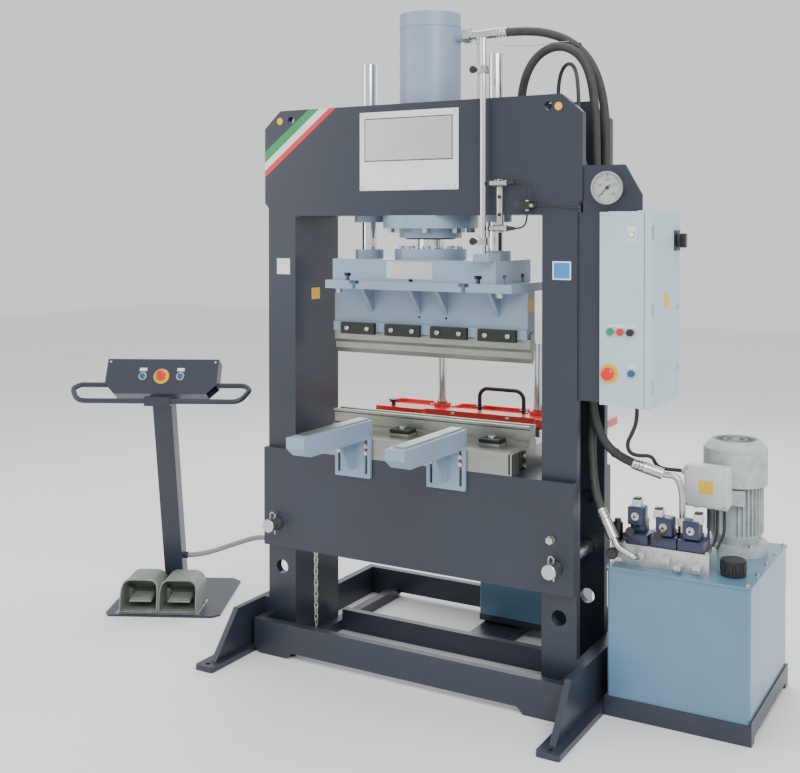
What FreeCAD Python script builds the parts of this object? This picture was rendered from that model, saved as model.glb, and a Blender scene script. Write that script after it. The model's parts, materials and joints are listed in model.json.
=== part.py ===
import FreeCAD, Part
import math
import os

# H-frame hydraulic press with a bending tool, oil unit, control cabinet and console.
# Millimetres.  X runs across the front, +Y to the back, +Z up.  The origin is on the floor,
# in the middle of the four anchor holes, straight under the cylinder.

V = FreeCAD.Vector
X_DIR = V(1, 0, 0)
Y_DIR = V(0, 1, 0)
Z_DIR = V(0, 0, 1)

# ---------------------------------------------------------------- driving dimensions
# fits and gaps
RUN_FIT = 0.05            # radial running clearance of shafts, hinge pins and buttons
FREE_GAP = 0.5            # gap between faces that slide or stand close on different bodies

# frame
OPENING_W = 1000.0        # clear width between the uprights
UPRIGHT_W = 124.0         # width of one upright
FRAME_D = 293.0           # outside depth over the two frame plates
PLATE_T = 30.0            # frame plates and upright webs
OPENING_Z = 1638.0        # underside of the crosshead
HEAD_H = 397.0            # height of the crosshead
HEAD_EAR = 17.0           # how far the crosshead stands out past the uprights
HEAD_STEP_RISE = 48.0     # from the underside to where the crosshead widens
HEAD_CHAMFER_X = 73.0
HEAD_CHAMFER_Z = 65.0
LIFT_HOLE_OUT = 20.0      # lifting hole, out from the opening's side
LIFT_HOLE_BELOW_TOP = 38.0
LIFT_HOLE_R = 14.0
HEAD_PLATE_T = 40.0       # bottom plate of the crosshead
HEAD_STAY_T = 25.0        # upper stay plate of the crosshead
HEAD_STAY_PAST = 58.0     # how far the stay plate runs past the guide columns
HEAD_STAY_BELOW_TOP = 60.0

# bed (table), pinned to the uprights
BED_TOP = 762.0
BED_H = 371.0
BED_PLATE_T = 30.0
BED_TOP_T = 32.0
BED_GAP = 1.0             # side play between the bed and the frame plates
BED_RIB_X = (-330.0, 0.0, 330.0)
BED_RIB_T = 20.0
PIN_R = 25.0
PIN_CLEARANCE = 1.0
PIN_ABOVE_BED = 89.0      # pin axis above the underside of the bed
PIN_PITCH = 175.0         # between the rows of holes in the uprights
PIN_PROUD = 62.0
PIN_TAIL = 30.0
CLIP_HOLE_R = 3.0

# feet and ties
FOOT_W = 78.0
FOOT_PAST_FRAME = 341.5   # from the frame plates to a toe
FOOT_PAD_T = 20.0
GUSSET_H = 178.0
GUSSET_FLAT = 159.5       # level top of the gusset, past the frame plates
GUSSET_TOE = 290.5        # foot of the gusset's slope, past the frame plates
GUSSET_IN = 24.0          # from the upright to the gusset plate
GUSSET_T = 22.0
ANCHOR_R = 9.0
ANCHOR_IN = 26.0          # anchor hole, in from a toe
TIE_T = 30.0
FRONT_TIE_PAST = 95.0     # front tie, ahead of the frame
FRONT_TIE_Z0 = 23.0
FRONT_TIE_Z1 = 127.0
REAR_TIE_H = 81.0
BACK_TIE_PAST = 417.0     # back tie, behind the frame
BACK_TIE_Z1 = 112.0
LUG_W = 122.0             # standing lugs under the ties
LUG_IN = 26.0
SILL_W = 38.0             # long sills at the feet of the uprights
SILL_H = 40.0
LEDGE_X0 = 18.0
LEDGE_X1 = 182.0
LEDGE_H = 26.0
SHELF_T = 24.0

# cylinder
BARREL_GAP = 3.5          # from the barrel to each frame plate
BORE_R = 80.0
BARREL_ABOVE_HEAD = 330.0
BARREL_CAP = 45.0
PORT_BELOW_TOP = 85.0
PORT_BOSS_R = 22.0
PORT_BOSS_PROUD = 26.0
OIL_WAY_R = 9.0
FLANGE_RIM = 61.0         # flange radius, past the barrel
FLANGE_H = 46.0
GLAND_RIM = 1.0
GLAND_H = 35.0
GLAND_SPIGOT = 42.0
ROD_R = 50.0
PISTON_H = 70.0
PISTON_END_GAP = 12.0     # between the piston and the cap with the ram up
FLANGE_BOLT_IN = 28.0     # bolt circle, in from the flange's rim
FLANGE_BOLTS = 8
FLANGE_BOLT_AF = 30.0
FLANGE_BOLT_H = 16.0

# guide columns
COLUMN_X = 262.0
COLUMN_R = 27.5
COLUMN_L = 725.0
BUSH_RIM = 28.5           # bush flange radius, past the column
BUSH_H = 24.0
BUSH_SLEEVE_T = 14.5

# ram
RAM_BELOW_HEAD = 158.0    # top of the raised ram, under the crosshead
RAM_H = 78.0
RAM_HALF = 332.0
RAM_OVER = 3.5            # how far the ram stands out past each frame plate
RAM_COLLAR_R = 131.0
RAM_COLLAR_H = 38.0
COLUMN_COLLAR_T = 25.5
COLUMN_COLLAR_H = 33.0
TSLOT_X = 265.0
TSLOT_NECK = 18.0
TSLOT_HEAD = 30.0
TSLOT_NECK_H = 16.0
TSLOT_HEAD_H = 12.0
TSLOT_SIDE_L = 60.0
TOOL_PLATE_T = 30.0
TOOL_PLATE_X0 = -356.0
TOOL_PLATE_X1 = 396.0
TOOL_PLATE_LIP = 12.0
TOOL_SLOT_X = (-230.0, 215.0)
HOLDER_HALF = 398.0
HOLDER_D = 62.0
HOLDER_H = 166.0
HOLDER_LIP_H = 34.0
HOLDER_LIP_T = 9.0
HOLDER_SOCKET_H = 22.0
HOLDER_RIB_X = (-232.0, -30.0, 80.0, 286.0)
HOLDER_RIB_T = 14.0
HOLDER_RIB_OUT = 78.0
HOLDER_RIB_H = 92.0
HOLDER_HOLE_X = (-30.0, 80.0)
PUNCH_HALF = 404.0
PUNCH_H = 75.0
PUNCH_D = 44.0
PUNCH_STEP = 10.0         # from the shoulders to the tang, on each side
CLAMP_CENTRES = (-283.0, -91.0, 100.0, 290.0)
CLAMP_W = 146.0
CLAMP_H = 43.0
CLAMP_T = 16.0

# die
DIE_HALF = 404.0
DIE_H = 70.0
DIE_D = 66.0
DIE_NECK_D = 46.0
DIE_V_W = 32.0
DIE_V_D = 18.0
DIE_SEAT = 6.0            # groove that the die sits in
BOLSTER_H = 73.0
BOLSTER_D = 330.0
BOLSTER_HOLE_X = (-350.0, -215.0, 30.0, 150.0)
DIE_CLAMP_X = (-80.0, 280.0)
DIE_CLAMP_Y = -70.0
DIE_CLAMP_HEEL = 12.0
DIE_CLAMP_T = 15.0

# front support arms
ARM_X = 190.0
ARM_W = 72.0
ARM_STRIP = 5.0
ARM_REACH = 409.0         # ahead of the bolster
ARM_LAP = 21.0            # over the bolster
ARM_NOSE = 38.0
ARM_PLATE_W = 150.0
ARM_PLATE_T = 12.0
ARM_PLATE_SHIFT = -29.0
ARM_PLATE_BELOW = 141.0
ARM_PLATE_ABOVE = 10.0
ARM_SLOT_W = 11.0
ARM_SLOT_IN = 18.0

# back gauge
GAUGE_T_IN = 3.0          # table end, in from the opening's side
GAUGE_T_PAST = 232.0      # front of the table, behind the frame
GAUGE_T_D = 243.0
GAUGE_T_ABOVE_BED = 94.0
GAUGE_T_H = 30.0
GAUGE_POCKET = 14.0
GAUGE_COL_X = 214.0
GAUGE_COL_PAST = 349.0
GAUGE_COL_R = 17.5
GAUGE_COL_L = 439.0
GAUGE_BOSS_R = 36.0
GAUGE_BRACKET_BELOW = 62.0
GAUGE_BRACKET_H = 70.0
GAUGE_BRACKET_W = 70.0
GAUGE_BRACKET_ROOT = 170.0
HANDLE_R = 8.0
HANDLE_SPAN = 196.0
HANDLE_H = 82.0
HANDLE_BEND = 22.0
HANDLE_X = 36.0
HANDLE_PAST = 388.5
HANDLE_FOOT_R = 15.0

# stroke rod and position sensors
STROKE_ROD_X = 298.0
STROKE_ROD_OUT = 26.5     # ahead of the ram's front face
STROKE_ROD_R = 11.0
STROKE_ROD_L = 755.0
SENSOR_RISE = (106.0, -46.0)
SENSOR_GAP = 9.0
SENSOR_L = 54.0
SENSOR_HALF_H = 11.0
SENSOR_PLUG_L = 34.0
JUNCTION_RISE = 30.0
JUNCTION_PAST = 118.0
JUNCTION_W = 52.0
JUNCTION_HALF_H = 14.0

# control cabinet
CAB_PAST = 81.0           # from the upright to the cabinet
CAB_W = 172.0
CAB_AHEAD = 16.0          # cabinet front, ahead of the frame
CAB_SHORT = 2.0           # cabinet back, ahead of the back of the frame
CAB_Z0 = 1026.0
CAB_H = 619.0
CAB_WALL = 2.0
DOOR_T = 24.0
DOOR_GAP = 1.0
DOOR_LIP = 14.0
HINGE_PIN_R = 3.0
HINGE_IN = 5.0            # hinge axis, in from the door's outer front corner
HINGE_LUG_T = 4.0
SWITCH_R = 24.0
SWITCH_SHAFT_R = 9.0
SWITCH_FROM_BACK = 36.5
SWITCH_BELOW_TOP = 93.0
GLAND_XY = ((101.0, 76.5), (75.0, 122.5), (101.0, 162.5))   # from the cabinet's front left corner
GLAND_NUT_R = 11.0
GLAND_NUT_H = 14.0
# controls on the cabinet's front: from its left side, and above its floor
GREEN_UP = (37.0, 236.0)
RED_UP = (70.0, 236.0)
MODE_UP = (104.0, 236.0)
STOP_UP = (33.0, 102.0)
RESET_UP = (107.0, 106.0)

# pressure gauge
GAUGE_PLATE_T = 10.0
GAUGE_PLATE_SET = 6.0     # front of the plate, behind the front of the frame
GAUGE_PLATE_PAST = 214.0
GAUGE_PLATE_ABOVE = 152.0
GAUGE_PAST = 111.0
GAUGE_ABOVE = 77.0
GAUGE_R = 53.0
GAUGE_RIM = 5.0
GAUGE_PROUD = 40.0
GAUGE_STEM_R = 12.0
GAUGE_STEM_L = 42.0

# oil unit
TANK_PAST = 86.0          # from the upright to the tank
TANK_L = 460.0
TANK_BACK = 48.0          # front of the tank, behind the front of the frame
TANK_D = 538.0
TANK_Z0 = 64.0
TANK_H = 426.0
TANK_WALL = 4.0
LID_T = 8.0
SKID_T = 6.0
SKID_LEG = 40.0
MANIFOLD_IN = 32.0
MANIFOLD_L = 288.0
MANIFOLD_BACK = 52.0
MANIFOLD_D = 92.0
MANIFOLD_H = 66.0
VALVE_BASE_H = 34.0
# manifold ports: from its left end, above the lid, radius, how far they stand out
PORTS = ((62.0, 38.0, 19.0, 16.0), (151.0, 34.0, 15.0, 18.0), (192.0, 18.0, 12.0, 30.0),
         (251.0, 22.0, 15.0, 20.0))
# valves: centre from the manifold's left end, coil height, connector shift, knob length
VALVES = ((44.0, 58.0, 0.0, 24.0), (138.0, 34.0, -22.0, 30.0), (226.0, 34.0, 20.0, 0.0))
RISER_IN = 183.0
RISER_BACK = 66.5
RISER_R = 16.0
RISER_H = 34.0
MOTOR_FROM_SIDE = 140.0
MOTOR_FROM_BACK = 151.0
MOTOR_H = 245.0
MOTOR_FLANGE_R = 107.0
MOTOR_FLANGE_H = 35.0
MOTOR_NECK_H = 26.0
MOTOR_BODY_R = 82.0
MOTOR_FIN = 12.0
MOTOR_FINS = 36
SHAFT_R = 9.0
SHAFT_DOWN = 60.0
PUMP_BORE_R = 9.3
COWL_R = 106.0
COWL_ABOVE = 137.0
COWL_LAP = 12.0
COWL_DOME = 26.0
COWL_WALL = 2.5
TERMINAL_W = 142.0
TERMINAL_H = 132.0
TERMINAL_D = 62.0
TERMINAL_ABOVE_LID = 178.0
TERMINAL_LEFT = 125.0
TERMINAL_SADDLE = 52.0
TERMINAL_GLAND_X = (28.0, 70.0, 98.0, 122.0)
TERMINAL_GLAND_L = 14.0
CAP_FROM_SIDE = 77.0
CAP_BACK = 102.0
CAP_R = 40.0
CAP_H = 50.0
NECK_R = 26.0

# second oil tank behind the bed
REAR_TANK_X0 = 0.0
REAR_TANK_X1 = 420.0
REAR_TANK_D = 147.5
REAR_TANK_GAP = 7.5
REAR_TANK_H = 255.0

# console
CONSOLE_PAST = 554.0      # from the upright to the middle of the console
CONSOLE_BACK = 6.0        # front of its base plate, behind the front of the frame
CONSOLE_TURN = 27.0
BASE_W = 476.0
BASE_D = 500.0
BASE_T = 8.0
POST_W = 78.0
POST_WALL = 4.0
POST_LEAN = 14.0
POST_FOOT_Y = 279.0
COLLAR_T = 6.0
COLLAR_H = 56.0
HEAD_W = 462.0
HEAD_PANEL_H = 150.0
HEAD_D = 70.0
HEAD_WALL = 3.0
HEAD_SLOPE = 62.0         # of the control face, from level
HEAD_Z = 985.0
HEAD_FORWARD = 16.0
CONSOLE_BUTTONS = (-78.0, 0.0, 78.0)
BAR_R = 10.5
BAR_HALF = 368.0
GUARD_Y0 = 26.0
GUARD_W = 160.0
GUARD_D = 178.0
GUARD_H = 127.0
GUARD_WALL = 4.0
GUARD_GAP = 2.0
GUARD_SHIFT = -22.0       # the pair of hoods sits a little left of the post
PEDAL_AXLE_R = 5.0
PEDAL_AXLE_Y = 145.0
PEDAL_AXLE_Z = 46.0
PEDAL_HALF = 46.0
CONDUIT_Z = 190.0

# buttons
BUTTON_R = 11.0
BUTTON_STEM_R = 7.0
BUTTON_STEM_L = 30.0
BUTTON_PROUD = 9.0
BUTTON_TRAVEL = 4.0
MUSHROOM_R = 20.0
MUSHROOM_PROUD = 24.0

# hoses and cables
HOSE_D = 30.0
LINE_D = 13.0
CABLE_D = 13.0
CONDUIT_D = 21.0
LEAD_D = 6.0
COIL_LEAD_D = 9.0
FERRULE_R = 19.0
FERRULE_L = 52.0
# solenoid leads: gland on the terminal box, and the place where they enter the lid
COIL_LEADS = ((70.0, 984.0, 55.0), (98.0, 1000.0, 61.0), (122.0, 1016.0, 67.0))

# ---------------------------------------------------------------- derived sizes
HALF_IN = OPENING_W / 2
HALF_OUT = HALF_IN + UPRIGHT_W
HALF_HEAD = HALF_OUT + HEAD_EAR
FRONT = -FRAME_D / 2
REAR = FRAME_D / 2
INNER_Y = REAR - PLATE_T
HEAD_TOP = OPENING_Z + HEAD_H
HEAD_STEP_Z = OPENING_Z + HEAD_STEP_RISE
LIFT_HOLE_X = HALF_IN + LIFT_HOLE_OUT
STAY_TOP = HEAD_TOP - HEAD_STAY_BELOW_TOP

BED_Y = REAR + BED_GAP
BED_BOTTOM = BED_TOP - BED_H
PIN_X = HALF_IN + UPRIGHT_W / 2
PIN_HOLE_R = PIN_R + PIN_CLEARANCE
PIN_Z = BED_BOTTOM + PIN_ABOVE_BED

FOOT_REACH = REAR + FOOT_PAST_FRAME
GUSSET_SHOULDER_Y = REAR + GUSSET_FLAT
GUSSET_TOE_Y = REAR + GUSSET_TOE
ANCHOR_Y = FOOT_REACH - ANCHOR_IN
FRONT_TIE_Y = FRONT - FRONT_TIE_PAST
BACK_TIE_Y = REAR + BACK_TIE_PAST
LUG_X1 = HALF_OUT - LUG_IN
LUG_X0 = LUG_X1 - LUG_W
SILL_X1 = HALF_IN
SILL_X0 = SILL_X1 - SILL_W

BARREL_TOP = HEAD_TOP + BARREL_ABOVE_HEAD
PORT_Z = BARREL_TOP - PORT_BELOW_TOP
BARREL_R = FRAME_D / 2 - PLATE_T - BARREL_GAP
FLANGE_R = BARREL_R + FLANGE_RIM
GLAND_R = BARREL_R + GLAND_RIM
GLAND_BOTTOM = OPENING_Z - FLANGE_H - GLAND_H
FLANGE_BOLT_PCR = FLANGE_R - FLANGE_BOLT_IN
HEAD_STAY_HALF = COLUMN_X + HEAD_STAY_PAST
BUSH_R = COLUMN_R + BUSH_RIM
BUSH_SLEEVE_R = COLUMN_R + BUSH_SLEEVE_T

RAM_TOP = OPENING_Z - RAM_BELOW_HEAD
RAM_BOTTOM = RAM_TOP - RAM_H
RAM_D = FRAME_D + 2 * RAM_OVER
COLLAR_TOP = RAM_TOP + RAM_COLLAR_H
COLUMN_COLLAR_R = COLUMN_R + COLUMN_COLLAR_T
TOOL_BOTTOM = RAM_BOTTOM - TOOL_PLATE_T
HOLDER_BOTTOM = TOOL_BOTTOM - HOLDER_H
PUNCH_TOP = HOLDER_BOTTOM - PUNCH_STEP
PUNCH_BOTTOM = PUNCH_TOP - PUNCH_H
CLAMP_Z = PUNCH_TOP
STROKE_ROD_Y = -RAM_D / 2 - STROKE_ROD_OUT
SENSOR_Z = tuple(OPENING_Z + rise for rise in SENSOR_RISE)
JUNCTION_Z = OPENING_Z + JUNCTION_RISE
SENSOR_X = STROKE_ROD_X + STROKE_ROD_R + SENSOR_GAP
JUNCTION_X = STROKE_ROD_X + JUNCTION_PAST

BOLSTER_TOP = BED_TOP + BOLSTER_H
BOLSTER_FRONT = -BED_Y - BED_PLATE_T + BED_GAP
DIE_TOP = BOLSTER_TOP + DIE_H
ARM_FRONT = BOLSTER_FRONT - ARM_REACH
ARM_REAR = BOLSTER_FRONT + ARM_LAP
ARM_PLATE_Z0 = BOLSTER_TOP - ARM_PLATE_BELOW
ARM_PLATE_Z1 = BOLSTER_TOP + ARM_PLATE_ABOVE

GAUGE_T_HALF = HALF_IN - GAUGE_T_IN
GAUGE_T_Y0 = REAR + GAUGE_T_PAST
GAUGE_T_Y1 = GAUGE_T_Y0 + GAUGE_T_D
GAUGE_T_TOP = BED_TOP + GAUGE_T_ABOVE_BED
GAUGE_COL_Y = REAR + GAUGE_COL_PAST
GAUGE_BRACKET_Z = BED_TOP - GAUGE_BRACKET_BELOW
HANDLE_Y = REAR + HANDLE_PAST

CAB_X0 = HALF_OUT + CAB_PAST
CAB_X1 = CAB_X0 + CAB_W
CAB_Y0 = FRONT - CAB_AHEAD
CAB_Y1 = REAR - CAB_SHORT
CAB_Z1 = CAB_Z0 + CAB_H
DOOR_X0 = CAB_X1 - DOOR_T
CASE_X1 = DOOR_X0 - DOOR_GAP
HINGE_X = CAB_X1 - HINGE_IN
HINGE_Y = CAB_Y0 + HINGE_IN
SWITCH_Y = CAB_Y1 - SWITCH_FROM_BACK
SWITCH_Z = CAB_Z1 - SWITCH_BELOW_TOP
GREEN_AT, RED_AT, MODE_AT, STOP_AT, RESET_AT = (
    (CAB_X0 + x, CAB_Z0 + z) for x, z in (GREEN_UP, RED_UP, MODE_UP, STOP_UP, RESET_UP))
GAUGE_PLATE_X1 = HALF_OUT + GAUGE_PLATE_PAST
GAUGE_PLATE_TOP = CAB_Z1 + GAUGE_PLATE_ABOVE
GAUGE_PLATE_Y0 = FRONT + GAUGE_PLATE_SET
GAUGE_Y0 = GAUGE_PLATE_Y0 - GAUGE_PROUD
GAUGE_X = HALF_OUT + GAUGE_PAST
GAUGE_Z = CAB_Z1 + GAUGE_ABOVE

TANK_X0 = HALF_OUT + TANK_PAST
TANK_X1 = TANK_X0 + TANK_L
TANK_Y0 = FRONT + TANK_BACK
TANK_Y1 = TANK_Y0 + TANK_D
TANK_TOP = TANK_Z0 + TANK_H
LID_Z0 = TANK_TOP - LID_T
MANIFOLD_X0 = TANK_X0 + MANIFOLD_IN
MANIFOLD_X1 = MANIFOLD_X0 + MANIFOLD_L
MANIFOLD_Y0 = TANK_Y0 + MANIFOLD_BACK
MANIFOLD_TOP = TANK_TOP + MANIFOLD_H
VALVE_TOP = MANIFOLD_TOP + VALVE_BASE_H
RISER_X = MANIFOLD_X0 + RISER_IN
RISER_Y = MANIFOLD_Y0 + RISER_BACK
MOTOR_X = TANK_X1 - MOTOR_FROM_SIDE
MOTOR_Y = TANK_Y1 - MOTOR_FROM_BACK
MOTOR_BODY_TOP = TANK_TOP + MOTOR_H
COWL_Z0 = MOTOR_BODY_TOP - COWL_LAP
COWL_TOP = MOTOR_BODY_TOP + COWL_ABOVE
TERMINAL_BACK = MOTOR_Y - COWL_R - 4
TERMINAL_X0 = MOTOR_X - TERMINAL_LEFT
TERMINAL_Z0 = TANK_TOP + TERMINAL_ABOVE_LID
CAP_X = TANK_X1 - CAP_FROM_SIDE
CAP_Y = TANK_Y0 + CAP_BACK
REAR_TANK_Y1 = BACK_TIE_Y - REAR_TANK_GAP
REAR_TANK_Y0 = REAR_TANK_Y1 - REAR_TANK_D
SHELF_Z = TANK_Z0 - SKID_T

CONSOLE_X = -HALF_OUT - CONSOLE_PAST
CONSOLE_Y = FRONT + CONSOLE_BACK
LEAN = math.radians(POST_LEAN)
SLOPE = math.radians(HEAD_SLOPE)
FACE_Y = POST_FOOT_Y - HEAD_Z * math.tan(LEAN) - HEAD_FORWARD
FACE_IN = V(0, math.sin(SLOPE), -math.cos(SLOPE))      # into the head
FACE_UP = V(0, math.cos(SLOPE), math.sin(SLOPE))       # up the control face
FACE_MID = V(0, FACE_Y, HEAD_Z)                        # middle of the control face


# ---------------------------------------------------------------- helpers
def box(x0, x1, y0, y1, z0, z1):
    return Part.makeBox(x1 - x0, y1 - y0, z1 - z0, V(x0, y0, z0))


def rod(radius, length, start, direction=Z_DIR):
    return Part.makeCylinder(radius, length, start, direction)


def ring(outer, inner, length, start, direction=Z_DIR):
    return rod(outer, length, start, direction).cut(rod(inner, length, start, direction))


def hexagon(across, height, centre, direction=Z_DIR):
    """Hexagon bolt head with its base at centre."""
    corner = across / math.sqrt(3)
    points = [V(corner * math.cos(k * math.pi / 3), corner * math.sin(k * math.pi / 3), 0)
              for k in range(7)]
    head = Part.Face(Part.makePolygon(points)).extrude(V(0, 0, height))
    head.Placement = FreeCAD.Placement(centre, FreeCAD.Rotation(Z_DIR, direction))
    return head


def outline(corners, place):
    """Closed face through (a, b, radius) corners; place maps (a, b) to a vector."""
    count = len(corners)
    starts, middles, ends = [], [], []
    for i, (a, b, radius) in enumerate(corners):
        before = corners[i - 1]
        after = corners[(i + 1) % count]
        to_before = V(before[0] - a, before[1] - b, 0).normalize()
        to_after = V(after[0] - a, after[1] - b, 0).normalize()
        corner = V(a, b, 0)
        if radius <= 0:
            starts.append(corner)
            middles.append(None)
            ends.append(corner)
            continue
        half = to_before.getAngle(to_after) / 2
        cut = radius / math.tan(half)
        bisector = (to_before + to_after).normalize()
        starts.append(corner + to_before * cut)
        ends.append(corner + to_after * cut)
        middles.append(corner + bisector * (radius / math.sin(half) - radius))
    edges = []
    for i in range(count):
        if middles[i] is not None:
            arc = Part.Arc(*[place(p.x, p.y) for p in (starts[i], middles[i], ends[i])])
            edges.append(arc.toShape())
        following = starts[(i + 1) % count]
        if ends[i].distanceToPoint(following) > 1e-6:
            edges.append(Part.makeLine(place(ends[i].x, ends[i].y), place(following.x, following.y)))
    return Part.Face(Part.Wire(edges))


def slab_x(corners, x0, x1):
    """Extrude a (y, z, radius) outline along X."""
    return outline(corners, lambda y, z: V(x0, y, z)).extrude(V(x1 - x0, 0, 0))


def slab_y(corners, y0, y1):
    """Extrude an (x, z, radius) outline along Y."""
    return outline(corners, lambda x, z: V(x, y0, z)).extrude(V(0, y1 - y0, 0))


def slab_z(corners, z0, z1):
    """Extrude an (x, y, radius) outline along Z."""
    return outline(corners, lambda x, y: V(x, y, z0)).extrude(V(0, 0, z1 - z0))


def rect(a0, a1, b0, b1, radius=0.0):
    return [(a0, b0, radius), (a1, b0, radius), (a1, b1, radius), (a0, b1, radius)]


def fuse(pieces):
    shape = pieces[0]
    for piece in pieces[1:]:
        shape = shape.fuse(piece)
    return shape.removeSplitter()


def cut(shape, tools):
    for tool in tools:
        shape = shape.cut(tool)
    return shape


def mirror_x(shape):
    return shape.mirror(V(0, 0, 0), X_DIR)


def path_edges(points, report=None):
    """Straight runs joined by tangent arcs, each as large as its two runs allow."""
    vectors = [V(*p) for p in points]
    edges = []
    last = vectors[0]
    for i in range(1, len(vectors) - 1):
        here = vectors[i]
        back = vectors[i - 1] - here
        ahead = vectors[i + 1] - here
        shorter = min(back.Length, ahead.Length)
        turn = math.pi - back.getAngle(ahead)
        reach = 0.45 * shorter
        radius = reach / math.tan(turn / 2)
        if report is not None:
            report.append(radius)
        u, w = V(back).normalize(), V(ahead).normalize()
        start, end = here + u * reach, here + w * reach
        bisector = (u + w).normalize()
        middle = here + bisector * (radius / math.cos(turn / 2) - radius)
        edges.append(Part.makeLine(last, start))
        edges.append(Part.Arc(start, middle, end).toShape())
        last = end
    edges.append(Part.makeLine(last, vectors[-1]))
    return edges


def tube(points, diameter, name=None):
    """Round bar or cord along a path of runs and arcs."""
    radii = []
    edges = path_edges(points, radii)
    wire = Part.Wire(edges)
    start = V(*points[0])
    heading = (V(*points[1]) - start).normalize()
    circle = Part.Wire([Part.makeCircle(diameter / 2, start, heading)])
    solid = wire.makePipeShell([circle], True, False)
    if name:
        section = math.pi * diameter ** 2 / 4
        turns = [round(r) for r in radii]
        ratio = solid.Volume / (section * wire.Length)
        print(name, "length", round(wire.Length), "volume ratio", round(ratio, 4), "radii", turns)
    return solid


parts = {}


def add(name, *shapes):
    solids = [s for shape in shapes for s in shape.Solids]
    parts[name] = solids


# ---------------------------------------------------------------- frame
def frame_plate(y0):
    """One flame-cut portal plate, from y0 towards +Y."""
    right = [(HALF_IN, 0, 0), (HALF_OUT, 0, 0), (HALF_OUT, HEAD_STEP_Z - HEAD_EAR, 12),
             (HALF_HEAD, HEAD_STEP_Z, 8), (HALF_HEAD, HEAD_TOP - HEAD_CHAMFER_Z, 6),
             (HALF_HEAD - HEAD_CHAMFER_X, HEAD_TOP, 10)]
    left = [(-x, z, r) for x, z, r in reversed(right)]
    corners = [(HALF_IN, OPENING_Z, 6)] + right + left + [(-HALF_IN, OPENING_Z, 6)]
    plate = slab_y(corners, y0, y0 + PLATE_T)
    holes = []
    for side in (-1, 1):
        lift = V(side * LIFT_HOLE_X, y0, HEAD_TOP - LIFT_HOLE_BELOW_TOP)
        holes.append(rod(LIFT_HOLE_R, PLATE_T, lift, Y_DIR))
        for step in (-1, 0, 1):
            pin = V(side * PIN_X, y0, PIN_Z + step * PIN_PITCH)
            holes.append(rod(PIN_HOLE_R, PLATE_T, pin, Y_DIR))
    return cut(plate, holes)


def head_holes(z0, height):
    """Openings that the barrel and the guide bushes need in a crosshead plate."""
    holes = [rod(BARREL_R + FREE_GAP, height, V(0, 0, z0))]
    for side in (-1, 1):
        holes.append(rod(BUSH_SLEEVE_R + FREE_GAP, height, V(side * COLUMN_X, 0, z0)))
    return holes


def frame_webs():
    """Upright webs, crosshead bottom plate, stay plate and stiffeners between the plates."""
    webs = []
    for side in (-1, 1):
        x0, x1 = sorted((side * HALF_IN, side * (HALF_IN + PLATE_T)))
        webs.append(box(x0, x1, -INNER_Y, INNER_Y, 0, STAY_TOP))
    bottom = box(-HALF_IN, HALF_IN, -INNER_Y, INNER_Y, OPENING_Z, OPENING_Z + HEAD_PLATE_T)
    webs.append(cut(bottom, head_holes(OPENING_Z, HEAD_PLATE_T)))
    stay_z = STAY_TOP - HEAD_STAY_T
    stay = box(-HEAD_STAY_HALF, HEAD_STAY_HALF, -INNER_Y, INNER_Y, stay_z, stay_z + HEAD_STAY_T)
    webs.append(cut(stay, head_holes(stay_z, HEAD_STAY_T)))
    return fuse(webs)


def feet():
    """Left and right foot: a long pad plate and a gusset plate that slopes to each toe."""
    x0 = HALF_OUT
    x1 = HALF_OUT + FOOT_W
    pad = slab_z(rect(x0, x1, -FOOT_REACH, FOOT_REACH, 8), 0, FOOT_PAD_T)
    side_view = [(-GUSSET_TOE_Y, FOOT_PAD_T, 0), (GUSSET_TOE_Y, FOOT_PAD_T, 0),
                 (GUSSET_SHOULDER_Y, GUSSET_H, 10), (-GUSSET_SHOULDER_Y, GUSSET_H, 10)]
    gusset = slab_x(side_view, x0 + GUSSET_IN, x0 + GUSSET_IN + GUSSET_T)
    spacer = box(x0, x0 + GUSSET_IN, FRONT, REAR, FOOT_PAD_T, GUSSET_H)
    foot = fuse([pad, gusset, spacer])
    holes = []
    for end in (-1, 1):
        at = V(x0 + FOOT_W / 2, end * ANCHOR_Y, 0)
        holes.append(rod(ANCHOR_R, FOOT_PAD_T, at))
    foot = cut(foot, holes)
    return [foot, mirror_x(foot)]


def tie(y0, z0, z1, half):
    """Cross member standing on two lugs."""
    corners = [(-LUG_X1, 0, 6), (-LUG_X0, 0, 6), (-LUG_X0 + z0, z0, 0), (LUG_X0 - z0, z0, 0),
               (LUG_X0, 0, 6), (LUG_X1, 0, 6), (half, z0, 0), (half, z1, 0), (-half, z1, 0),
               (-half, z0, 0)]
    return slab_y(corners, y0, y0 + TIE_T)


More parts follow.
